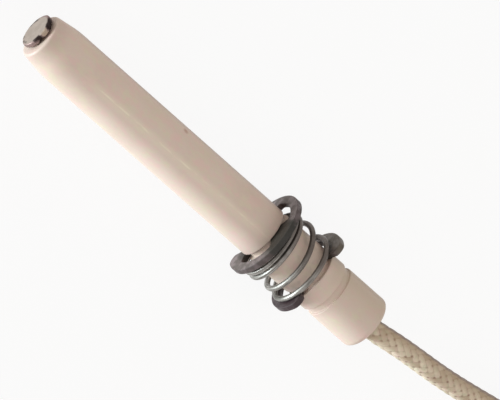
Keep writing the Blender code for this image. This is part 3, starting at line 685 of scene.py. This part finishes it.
rod_corners = [  # x, radius, and the easing of that corner in mm
    (behind_tip(0), ROD_BORE, 0.15),
    (behind_tip(0), TIP_RADIUS - 0.22 * MM, 0.2),
    (behind_tip(0.25 * MM), TIP_RADIUS, 0.5),
    (behind_tip(NOSE_LENGTH), NOSE_RADIUS, 1.2),
]
for station, before, bottom, after, edges in GROOVES:
    front, rear = behind_tip(station - GROOVE_WIDTH / 2), behind_tip(station + GROOVE_WIDTH / 2)
    groove = ((front, before), (front, bottom), (rear, bottom), (rear, after))
    rod_corners += [(x, radius, edge) for (x, radius), edge in zip(groove, edges)]
rod_corners += [
    (rear_x + 0.5 * MM, BODY_RADIUS, 0.4),
    (rear_x, BODY_RADIUS - 0.5 * MM, 0.25),
    (rear_x, MOUTH_RADIUS, 0.15),
    (rear_x + MOUTH_DEPTH, MOUTH_RADIUS, 0.1),
    (rear_x + MOUTH_DEPTH, SOCKET_RADIUS, 0.1),
    (rear_x + SOCKET_DEPTH, SOCKET_RADIUS, 0.1),
    (rear_x + SOCKET_DEPTH + 0.9 * MM, ROD_BORE, 0.1),
]
ceramic = turned(eased(rod_corners, MM, 4), ROD_SEGMENTS, (0, axis_z))
finished("ceramic_rod", ceramic, steatite, "ceramic_insulator")


# -------------------- spark disc and its rod
# The disc is punched from heat-resisting steel and welded on the rod's end. Its face is satin, and its
# rim is torn and burnt dark by the sparks, with near-black painted shadow in its bites and a painted
# highlight between them. The rod runs in the ceramic's bore.
disc_low, disc_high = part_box("spark_disc")
DISC_SEGMENTS = 144
DISC_CENTRE = ((disc_low.y + disc_high.y) / 2, (disc_low.z + disc_high.z) / 2)
DISC_RADIUS = (disc_high.z - disc_low.z) / 2
BURNS = ((-2.9, -1.5), (0.0, 1.0))  # along Y in mm, on its upper side
# along Y in mm, on the upper rim between the bites, where a highlight is painted
GLINT_SPAN = (-1.3, -0.2)


def metal_group():
    """Clean metal and its tarnish in blotches, with fine scratches."""
    inputs = {"Place": "Vector", "Clean": "Color", "Tarnish": "Color"}
    inputs |= {"Amount": "Float", "Scale": "Float", "Gloss": "Float"}
    outputs = {"Colour": "Color", "Roughness": "Float", "Grain": "Float"}
    tree, given, result = new_group("handled_metal", "Shader", inputs, outputs)
    grain = noise(given["Place"], 5200, 3, 0.7)
    blotches = noise(given["Place"], given["Scale"], 4) + grain * 0.3
    share = smooth_step(blotches, 0.52, 0.78) * given["Amount"]
    put(result["Colour"], given["Clean"].tinted(share, given["Tarnish"]))
    put(result["Roughness"], share * 0.25 + given["Gloss"] + grain * 0.16)
    put(result["Grain"], grain)
    return tree


metal_skin = metal_group()


def metal_finish(name, metallic, **skin):
    """Handled metal. Gives its finish, its shader and its colour."""
    finish, tree, shader = new_finish(name, metallic)
    colour = put_group(tree, metal_skin, place=object_place(tree), **skin)
    paint(shader, colour, colour.other("Roughness"), colour.other("Grain"), 0.008 * MM, 0.6)
    return finish, shader, colour


def spark_wear(x, radius, turn):
    """The rim is eaten back where the sparks jump, and left whole between the bites, where a highlight is
    painted.
    """
    if radius < DISC_RADIUS - 0.4 * MM:
        return 0.0
    y = (radius * math.sin(turn) if math.cos(turn) > 0 else DISC_RADIUS) / MM
    dip = sum(math.exp(-(((y - (low + high) / 2) / (0.45 * (high - low))) ** 2)) for low, high in BURNS)
    ripple = math.sin(9 * turn) + 0.7 * math.sin(17 * turn + 1) + 0.5 * math.sin(31 * turn + x / MM * 4)
    return -0.2 * MM * min(dip, 1.0) + 0.018 * MM * (ripple - 2.2)


def dress(node_name, finish):
    """The CAD node keeps its shape and gets the finish."""
    materials = nodes[node_name].data.materials
    materials.clear()
    materials.append(finish)


disc_steel, disc_shader, disc_colour = metal_finish(
    "burnt_steel", 0.9, clean=(0.44, 0.37, 0.32), tarnish=(0.33, 0.27, 0.23), amount=0.6,
    scale=700, gloss=0.5,
)
disc_tree = disc_colour.tree
disc_x, disc_y, disc_z = place_parts(disc_tree, (disc_low.x, 0, axis_z))
past_rim = distance(disc_tree, (0, *DISC_CENTRE), 0) - DISC_RADIUS / MM
ragged = noise(object_place(disc_tree), 1100, 4) * 1.6 - 0.8
rim_patch_y = disc_y + ragged
upper_half = smooth_step(disc_z, 0, 1)
# Two bites on the upper side and patches of the lower side are burnt, and near black as painted shadow in
# the gaps under the rim.
burn_and_painted_shadow = band(rim_patch_y, *BURNS[0], 0.2) + band(rim_patch_y, *BURNS[1], 0.2)
burn_and_painted_shadow = burn_and_painted_shadow * smooth_step(disc_x + ragged, -0.4, 0) * upper_half
burn_and_painted_shadow += smooth_step(noise(object_place(disc_tree), 620, 3), 0.45, 0.6) * (1 - upper_half)
burn_and_painted_shadow *= smooth_step(ragged * 0.5 + past_rim, -0.7, -0.35)
# Brown scale covers the rim, and reaches farther on the worn side. Between the bites a highlight is painted
# on the rim.
worn_side = smooth_step(disc_y, -1.5, -2.7)
rim_mask = smooth_step(worn_side * 0.28 + past_rim, -0.3, -0.12)
disc_colour = disc_colour.tinted(rim_mask * 0.85, (0.28, 0.19, 0.18))
painted_glint = band(rim_patch_y, *GLINT_SPAN, 0.15) * rim_mask
disc_colour = disc_colour.tinted(painted_glint * 0.7, (0.55, 0.45, 0.34))
put(disc_shader.inputs["Base Color"], disc_colour.tinted(burn_and_painted_shadow, (0.035, 0.022, 0.02)))

disc_corners = [  # x, radius, and the easing of that corner in mm
    (disc_high.x, 0.0, 0),
    (disc_high.x, DISC_RADIUS - 0.75 * MM, 0),
    (disc_high.x, DISC_RADIUS - 0.12 * MM, 0.12),
    (disc_high.x - 0.12 * MM, DISC_RADIUS, 0.12),
    (disc_high.x - 0.4 * MM, DISC_RADIUS - 0.02 * MM, 0),
    (disc_low.x + 0.1 * MM, DISC_RADIUS - 0.03 * MM, 0.08),
    (disc_low.x, DISC_RADIUS - 0.14 * MM, 0.05),
    (disc_low.x, DISC_RADIUS - 0.75 * MM, 0),
    (disc_low.x, 0.0, 0),
]
disc = turned(eased(disc_corners, MM), DISC_SEGMENTS, DISC_CENTRE, False, spark_wear)
finished("punched_disc", disc, disc_steel, "spark_disc")
dress("electrode_rod", disc_steel)


# -------------------- E-clips
# Two clips for a 7 mm groove, stamped from 0.9 mm spring steel and phosphated dark. The punch leaves
# one edge rounder than the other. The sheared rim is darker, partly as painted shade, and oil and painted
# shade darken the steel round the groove.
CLIP_RADIUS = 6.8 * MM
CLIP_RECESS = 5.3 * MM
CLIP_GRIP = 3.7 * MM
PRONG_SIDE = (20, 31)
RECESS_END = (97, 112)
LOBE_ANGLE = 122
LOBE_CENTRE = 5.5 * MM
CLIP_TURNS = {"front_clip": math.radians(20), "rear_clip": math.radians(190)}


def clip_polar(radius, degrees):
    return Vector((radius * math.sin(math.radians(degrees)), radius * math.cos(math.radians(degrees))))


def inset_outline(outline, amount):
    """The outline moved into its own material, which lies on its left."""
    moved = []
    for i, corner in enumerate(outline):
        before = (corner - outline[i - 1]).normalized()
        after = (outline[(i + 1) % len(outline)] - corner).normalized()
        way = (before + after).normalized()
        stretch = 1 / max(way.dot(before), 0.5)
        moved.append(corner + Vector((-way.y, way.x)) * amount * stretch)
    return moved


def edge_layers(half, low_rounding, high_rounding):
    """(inset, depth) up the edge of a plate, from its low face to its high one, both rounded over."""
    layers = []
    for rounding, way in ((low_rounding, -1), (high_rounding, 1)):
        turns = [math.pi / 8 * step for step in range(5)][::-way]
        layers += [
            (rounding * (1 - math.sin(t)), way * (half - rounding * (1 - math.cos(t)))) for t in turns
        ]
    return layers


clip_steel, clip_shader, clip_colour = metal_finish(
    "phosphated_steel", 0.0, clean=(0.175, 0.135, 0.135), tarnish=(0.085, 0.07, 0.06), amount=0.85,
    scale=900, gloss=0.34,
)
clip_tree = clip_colour.tree
put(clip_shader.inputs["IOR"], 1.45)
# The sheared rim is darkened, partly as painted shade.
clip_edge = attribute(clip_tree, "edge", "Fac") * 0.45
clip_colour = clip_colour.tinted(clip_edge, (0.03, 0.013, 0.016))
# Oil, and painted shade where the clip meets the ceramic, darken it near black round the groove.
oil_and_painted_shade = smooth_step(distance(clip_tree, (0, 0, axis_z), 0), 5.6, 4.4)
clip_colour = clip_colour.tinted(oil_and_painted_shade * 0.8, (0.02, 0.017, 0.012))
# Painted shade darkens the top of the front clip's back near black, and the rear clip's +Y end to purple
# black; that clip's -Y end has gone olive.
forward, clip_y, clip_z = place_parts(clip_tree, (behind_tip(50 * MM), 0, axis_z))
in_front = smooth_step(forward, 0, 0.1)
ragged_y = clip_y + noise(object_place(clip_tree), 900, 4) * 4 - 2
painted_shade_top = band(ragged_y, -4.2, 1.8, 0.7) * smooth_step(clip_z, 1, 3) * in_front
clip_colour = clip_colour.tinted(painted_shade_top * 0.93, (0.018, 0.016, 0.011))
# The +Y end gets near-black purple painted shade; the -Y end an olive tint.
for near, far, share, tint in (
    (2.4, 4.2, 0.92, (0.03, 0.014, 0.017)),
    (-4.2, -5.4, 0.5, (0.12, 0.105, 0.065)),
):
    rear_end = smooth_step(ragged_y, near, far) * (1 - in_front)
    clip_colour = clip_colour.tinted(rear_end * share, tint)
put(clip_shader.inputs["Base Color"], clip_colour)

# The E's outline: middle prong, recess, open end and back, and the same mirrored.
half = []
for degrees in np.arange(0, RECESS_END[1] + 1.5, 1.5):
    share = ramp(degrees, *PRONG_SIDE) - ramp(degrees, *RECESS_END)
    half.append(clip_polar(CLIP_GRIP + (CLIP_RECESS - CLIP_GRIP) * share, degrees))
half += [clip_polar(CLIP_GRIP, LOBE_ANGLE + turn) for turn in (-6, -3, 0, 3, 5)]
half += [clip_polar(CLIP_GRIP + 0.22 * MM, LOBE_ANGLE + 7)]
half += [clip_polar(CLIP_GRIP + 0.6 * MM, LOBE_ANGLE + 8)]
lobe_centre, lobe_radius = clip_polar(LOBE_CENTRE, LOBE_ANGLE), CLIP_RADIUS - LOBE_CENTRE
half += [lobe_centre + clip_polar(lobe_radius, t) for t in range(LOBE_ANGLE + 96, LOBE_ANGLE, -6)]
half += [clip_polar(CLIP_RADIUS, t) for t in range(LOBE_ANGLE, -1, -2)]
clip_outline = half + [Vector((-p.x, p.y)) for p in reversed(half[1:-1])]

for node_name, clip_turn in CLIP_TURNS.items():
    clip_low, clip_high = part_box(node_name)
    clip_middle = Vector(((clip_high.x + clip_low.x) / 2, 0, axis_z))
    side_way = Vector((0, math.cos(clip_turn), math.sin(clip_turn)))
    up_way = Vector((0, -math.sin(clip_turn), math.cos(clip_turn)))
    plate = bmesh.new()
    rim_flag = plate.verts.layers.float.new("edge")
    rings = []
    for inset, depth in edge_layers((clip_high.x - clip_low.x) / 2, 0.05 * MM, 0.1 * MM):
        foot = clip_middle + Vector((depth, 0, 0))
        corners = inset_outline(clip_outline, inset)
        rings.append([plate.verts.new(foot + side_way * p.x + up_way * p.y) for p in corners])
    for vert in sum(rings[1:-1], []):
        vert[rim_flag] = 1.0
    stitch(plate, rings)
    finished("stamped_" + node_name, plate, clip_steel, node_name, 50)


# -------------------- mounting spring
# A right-hand compression spring of 0.85 mm zinc-plated wire, trapped between the clips. Its front
# coils are tilted against the front clip, its middle is open, and its last coil lies flat. Painted
# shade darkens its -Y side to brown, and its dark drawing lines are partly painted reflection.
SPRING_WIRE = 0.85 * MM
SPRING_MEAN = 5.7 * MM - SPRING_WIRE / 2
SPRING_STEPS = 96
SPRING_SIDES = 20
SPRING_FRONT = 47.8 * MM  # station at which it moves with the bracket
SPRING_TABLE = [  # turn, station of the wire's centre, and how far the coil hangs to +Y, in mm
    (0.0, 46.88, 0.32), (0.5, 47.6, 0.32), (1.0, 47.78, 0.34), (1.5, 48.7, 0.32),
    (2.0, 49.95, 0.16), (2.25, 51.15, 0.1), (2.5, 51.65, 0.08), (3.0, 53.1, 0.26),
    (3.25, 53.58, 0.35), (3.75, 53.6, 0.36),
]


def spring_place(turns):
    """Station and offset of the coil at a turn, on a smooth curve through the spring's table."""
    knots = [Vector(row) for row in SPRING_TABLE]
    knots = [knots[0]] + knots + [knots[-1]]
    for before, start, end, after in zip(knots, knots[1:], knots[2:], knots[3:]):
        if turns <= end[0]:
            break
    span = end[0] - start[0]
    t = (turns - start[0]) / span
    rise_in = (end - before) / (end[0] - before[0]) * span
    rise_out = (after - start) / (after[0] - start[0]) * span
    place = start * (2 * t**3 - 3 * t**2 + 1) + end * (3 * t**2 - 2 * t**3)
    place += rise_in * (t**3 - 2 * t**2 + t) + rise_out * (t**3 - t**2)
    return place[1] * MM, place[2] * MM


coil = []
for step in range(round(SPRING_TABLE[-1][0] * SPRING_STEPS) + 1):
    coil_turn = step / SPRING_STEPS
    station, hang = spring_place(coil_turn)
    angle = math.tau * coil_turn
    y = hang - SPRING_MEAN * math.cos(angle)
    z = axis_z + SPRING_MEAN * math.sin(angle)
    coil.append(Vector((behind_tip(station), y, z)))

zinc, zinc_shader, zinc_colour = metal_finish(
    "zinc_plate", 0.9, clean=(0.45, 0.43, 0.4), tarnish=(0.24, 0.22, 0.2), amount=0.8, scale=520,
    gloss=0.2,
)
zinc_tree = zinc_colour.tree
# Dark drawing lines run along the wire, partly as painted reflection.
die_lines_and_dark_reflection = vector_math("MULTIPLY", attribute(zinc_tree, "on_path"), (1, 1, 60))
die_lines_and_dark_reflection = noise(die_lines_and_dark_reflection, 2.6, 4, 0.7)
zinc_colour = zinc_colour.tinted(smooth_step(die_lines_and_dark_reflection, 0.44, 0.62) * 0.85, (0.08, 0.074, 0.062))
# Painted shade: the spring darkens to brown towards -Y, away from the soft box.
painted_shade_side = place_parts(zinc_tree, (0, 0, 0))[1] + die_lines_and_dark_reflection * 3 - 1.5
painted_shade_side = smooth_step(painted_shade_side, 3.6, -3.6)
put(zinc_shader.inputs["Base Color"], zinc_colour.tinted(painted_shade_side * 0.88, (0.1, 0.078, 0.066)))

wire_sweep = path_sweep_tree("drawn_wire", False)
spring = grown("coiled_spring", coil, wire_sweep, Radius=SPRING_WIRE / 2, Sides=SPRING_SIDES, Finish=zinc)
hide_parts("mounting_spring")
spring_rear, spring_front = (coil[-1].x, 0, axis_z), (behind_tip(SPRING_FRONT), 0, axis_z)
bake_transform(spring)


# -------------------- what joins the lead to the rod
# Inside the socket the lead is stripped in steps and its conductor is crimped to the rod. Cement
# fills the mouth round the braid, and creeps up its yarns.
CEMENT_SEGMENTS = 72
STRANDS_ROUND = 6
STRAND_LAY = 9 * MM
STRAND_STEPS = 24
X_WAY = Vector((1, 0, 0))
cement = mass_finish(
    "cement", 0.9, 0.0, 0.05 * MM, 1.0, pale=(0.72, 0.7, 0.64), deep=(0.55, 0.52, 0.46),
    speck=(0.35, 0.33, 0.3), specks=0.35,
)[0]
silicone = mass_finish(
    "silicone_rubber", 0.3, 0.3, 0.01 * MM, 0.5, pale=(0.7, 0.68, 0.63), deep=(0.61, 0.59, 0.54),
    speck=(0.42, 0.4, 0.37), specks=0.04,
)[0]
tin = metal_finish(
    "tinned_metal", 1.0, clean=(0.66, 0.64, 0.58), tarnish=(0.42, 0.37, 0.28), amount=0.5,
    scale=600, gloss=0.24,
)[0]


def cement_lumps(x, radius, turn):
    """The trowelled face is lumpy, and the ring is out of round against the lead."""
    if radius > MOUTH_RADIUS - 0.2 * MM:
        return 0.0
    return 0.05 * MM * (math.sin(3 * turn + 1) + math.sin(7 * turn) + 0.6 * math.sin(13 * turn + 2))


cement_outline = [
    (rear_x + MOUTH_DEPTH - 0.3 * MM, LEAD_RADIUS + 0.06 * MM),
    (rear_x + MOUTH_DEPTH - 0.3 * MM, MOUTH_RADIUS - 0.03 * MM),
    (rear_x + 0.35 * MM, MOUTH_RADIUS - 0.03 * MM),
    (rear_x + 0.6 * MM, (MOUTH_RADIUS + LEAD_RADIUS) / 2 + 0.2 * MM),
    (rear_x + 0.25 * MM, LEAD_RADIUS + 0.3 * MM),
    (rear_x - 0.25 * MM, LEAD_RADIUS + 0.12 * MM),
    (rear_x - 0.3 * MM, LEAD_RADIUS - 0.02 * MM),
]
mouth_fill = turned(eased(cement_outline, 0.25 * MM), CEMENT_SEGMENTS, (0, axis_z), True, cement_lumps)
finished("cement_fillet", mouth_fill, cement, "socket_cement")
dress("core_end", silicone)
dress("far_core_end", silicone)
dress("crimp_ferrule", tin)


def swept(solid, places, section):
    """A section of (a, b) points carried through places, each a point and its two axes."""
    rings = []
    for point, a_axis, b_axis in places:
        rings.append([solid.verts.new(point + a_axis * a + b_axis * b) for a, b in section])
    stitch(solid, rings)


def strand_places(start, length, out, first_turn):
    """A helix about a line along X, with the strand's own axes."""
    places = []
    for step in range(STRAND_STEPS + 1):
        along = length * step / STRAND_STEPS
        turn = first_turn + math.tau * along / STRAND_LAY
        radial = Vector((0, math.cos(turn), math.sin(turn)))
        places.append((start + radial * out + X_WAY * along, X_WAY.cross(radial), radial))
    return places


for node_name in ("conductor_end", "far_conductor_end"):
    end_low, end_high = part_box(node_name)
    bundle = (end_high.z - end_low.z) / 2
    length = end_high.x - end_low.x
    start = Vector((end_low.x, (end_low.y + end_high.y) / 2, (end_low.z + end_high.z) / 2))
    circle = [Vector((math.cos(t), math.sin(t))) * bundle / 3 for t in np.arange(12) * math.tau / 12]
    solid = bmesh.new()
    for strand in range(STRANDS_ROUND):
        first_turn = math.tau * strand / STRANDS_ROUND
        swept(solid, strand_places(start, length, 2 * bundle / 3, first_turn), circle)
    swept(solid, strand_places(start, length, 0.0, 0.0), circle)
    finished("stranded_" + node_name, solid, tin, node_name)


# -------------------- terminal and its sleeve
# A receptacle rolled from one strip of tinned brass sheet, with a crimp on the wire and a wider one
# on the braid. A moulded silicone sleeve is pushed over it, with a bead at each end and grip ribs.
TERMINAL_PLACE = Vector((-156.0, -5.0, 3.25)) * MM
SHEET = 0.4 * MM
CRIMPS = [  # from, to, radius of the sheet's middle, gap between its wings in degrees
    (0.0, 2.4 * MM, 2.125 * MM, 50),
    (4.2 * MM, 7.0 * MM, 1.0 * MM, 14),
]
CRIMP_STEPS = 48
RECEPTACLE = (8.6 * MM, 15.0 * MM)
RECEPTACLE_HALF = (1.9 * MM - SHEET / 2, 0.85 * MM - SHEET / 2)
RECEPTACLE_LIP = 0.45 * MM
# behind the crimp's edge, height, and easing, in mm
SPINE_PATH = [(0.3, -2.14, 0), (2.6, -2.14, 0.5), (4.0, -0.98, 0.5), (7.3, -0.98, 0.5), (9.0, -0.64, 0)]
SPINE = (1.4 * MM, 0.28 * MM)
SLEEVE_SEGMENTS = 64
# depth behind the crimp's edge, radius, and the easing of that corner, in mm
SLEEVE_MOUTH = [(16.0, 2.6, 0.15), (16.0, 3.2, 0.25), (15.0, 3.2, 0.25), (14.7, 3.0, 0.3), (4.2, 3.08, 0.3)]
SLEEVE_RIBS = (3.9, 2.5, 1.1)
SLEEVE_NECK = [(0.3, 3.0, 0.2), (-0.6, 2.55, 0.5), (-2.2, 2.5, 0.2), (-2.4, 2.7, 0.15), (-3.0, 2.7, 0.2)]
SLEEVE_NECK += [(-3.0, 1.95, 0.15), (-1.2, 1.95, 0.2), (-0.5, 2.6, 0.3)]


def strip_places(path, to_world, soft):
    """Places for a flat strip. Its middle follows a path of (u, v), its width lies along the depth,
    and its cut ends are rounded by soft."""
    places = []
    across = (to_world(0, 0, 1) - to_world(0, 0, 0)).normalized()
    for i, point in enumerate(path):
        way = (path[min(i + 1, len(path) - 1)] - path[max(i - 1, 0)]).normalized()
        ahead = to_world(*(point + way), 0) - to_world(*point, 0)
        places.append((to_world(*point, 0), across, across.cross(ahead.normalized())))
    for place, other in ((0, 1), (-1, -2)):
        point, a_axis, b_axis = places[place]
        inward = (places[other][0] - point).normalized() * soft
        places[place] = (point, a_axis * 0.9, b_axis * 0.6)
        places.insert(1 if place == 0 else len(places) - 1, (point + inward, a_axis, b_axis))
    return places


def strip_section(width, thickness, rounding):
    a, b = width / 2, thickness / 2
    return eased([(-a, -b), (a, -b), (a, b), (-a, b)], rounding)


def sheet_strip(solid, path, front, rear):
    """The sheet bent along a path of (u, v) across the terminal, from front to rear."""

    def sheet_place(u, v, depth):
        return TERMINAL_PLACE + Vector((-(front + rear) / 2 - depth, u, v))

    section = strip_section(rear - front, SHEET, SHEET / 4)
    swept(solid, strip_places(path, sheet_place, SHEET / 3), section)


def spine_place(u, v, depth):
    return TERMINAL_PLACE + Vector((-u, depth, v))


receptacle = bmesh.new()
for front, rear, radius, gap in CRIMPS:
    turns = np.radians(np.linspace(90 + gap / 2, 450 - gap / 2, CRIMP_STEPS + 1))
    wrap = [Vector((math.cos(t), math.sin(t))) * radius for t in turns]
    sheet_strip(receptacle, wrap, front, rear)
half, high = RECEPTACLE_HALF
channel = [(RECEPTACLE_LIP, high, 0), (half, high), (half, -high), (-half, -high), (-half, high)]
channel = eased(channel + [(-RECEPTACLE_LIP, high, 0)], 0.45 * MM, 5)
sheet_strip(receptacle, channel, *RECEPTACLE)
spine = eased([(u * MM, v * MM, ease) for u, v, ease in SPINE_PATH], MM, 4)
swept(receptacle, strip_places(spine, spine_place, SHEET / 3), strip_section(*SPINE, SPINE[1] / 4))
terminal_piece = finished("rolled_receptacle", receptacle, tin, "terminal", 50)

ribs = []
for rib in SLEEVE_RIBS:
    ribs += [(rib, 3.2, 0.15), (rib - 0.5, 3.2, 0.15), (rib - 0.8, 3.02, 0.2), (rib - 1.1, 3.02, 0.2)]
ribs = SLEEVE_MOUTH + ribs[:-2] + SLEEVE_NECK
sleeve_outline = [(TERMINAL_PLACE.x - depth * MM, radius * MM, ease) for depth, radius, ease in ribs]
sleeve = turned(eased(sleeve_outline, MM), SLEEVE_SEGMENTS, (TERMINAL_PLACE.y, TERMINAL_PLACE.z))
sleeve = finished("ribbed_sleeve", sleeve, silicone, "terminal_sleeve")


# -------------------- hank tie
# A small moulded nylon tie. Its strap starts at the head, goes round the hank's waist, comes back up
# through the head's window, where a pawl holds its rack of teeth, and is clipped off.
TIE_HALF = (4.15 * MM, 5.8 * MM)
TIE_STRAP = (2.6 * MM, 0.9 * MM)
TIE_HEAD = (4.4 * MM, 4.6 * MM, 3.4 * MM)
TIE_TAIL = 1.65 * MM  # from the head's inner side to the strap's middle in its window
TIE_END = 2.95 * MM
TIE_PLAY = 0.15 * MM
TOOTH = 0.5 * MM
TOOTH_HEIGHT = 0.16 * MM
nylon = mass_finish(
    "nylon", 0.38, 0.0, 0.01 * MM, 0.4, pale=(0.8, 0.79, 0.74), deep=(0.73, 0.71, 0.64),
    speck=(0.6, 0.58, 0.52), specks=0.03,
)[0]
tie_low, tie_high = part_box("hank_tie")
side, top = TIE_HALF
thickness = TIE_STRAP[1]
tie_middle = Vector(((tie_low.x + tie_high.x) / 2, tie_low.y + side + thickness / 2, 0))
tie_middle.z = tie_low.z + top + thickness / 2


def tie_place(u, v, depth):
    return tie_middle + Vector((depth, u, v))


tail = side + TIE_TAIL
strap = [(side, -0.6 * MM, 0), (side, top, 1.3), (-side, top, 1.3), (-side, -top, 1.3)]
strap += [(side + 0.2 * MM, -top, 1.1), (side + 0.2 * MM, -top + 2 * MM, 1.1)]
strap = eased(strap + [(tail, -top + 3.6 * MM, 1.1), (tail, TIE_END, 0)], MM, 6)
tie = bmesh.new()
swept(tie, strip_places(strap, tie_place, 0.1 * MM), strip_section(*TIE_STRAP, 0.2 * MM))
for tooth in range(3):
    foot = TIE_HEAD[2] / 2 + TOOTH * (tooth - 0.2)
    slope = [(foot, 0.0), (foot + TOOTH * 0.9, 0.0), (foot + TOOTH * 0.9, TOOTH_HEIGHT)]
    ends = [tie_place(tail + 0.44 * MM, 0, across * 0.85 * MM) for across in (-1, 1)]
    swept(tie, [(end, Vector((0, 0, 1)), Vector((0, 1, 0))) for end in ends], slope)

long, wide, tall = TIE_HEAD
block = [(-long / 2, side, 0.3), (long / 2, side, 0.3), (long / 2, side + wide), (-long / 2, side + wide)]
block = eased(block, MM, 6)
gap_long, gap_wide = TIE_STRAP[0] / 2 + TIE_PLAY, thickness / 2 + TIE_PLAY
window = [(-gap_long, tail - gap_wide), (gap_long, tail - gap_wide)]
window = eased(window + [(gap_long, tail + gap_wide), (-gap_long, tail + gap_wide)], 0.15 * MM, 6)
rings = []
for outline, way, rounding in ((block, 1, 0.4 * MM), (window, -1, 0.15 * MM)):
    for inset, level in edge_layers(tall / 2, rounding, rounding)[::way]:
        corners = inset_outline(outline, inset * way)
        rings.append([tie.verts.new(tie_middle + Vector((*corner, level))) for corner in corners])
stitch(tie, rings, True)
tie_piece = finished("moulded_tie", tie, nylon, "hank_tie", 50)

[tuple(p) for p in lead_line[::4]] + [tuple(lead_line[-1])]
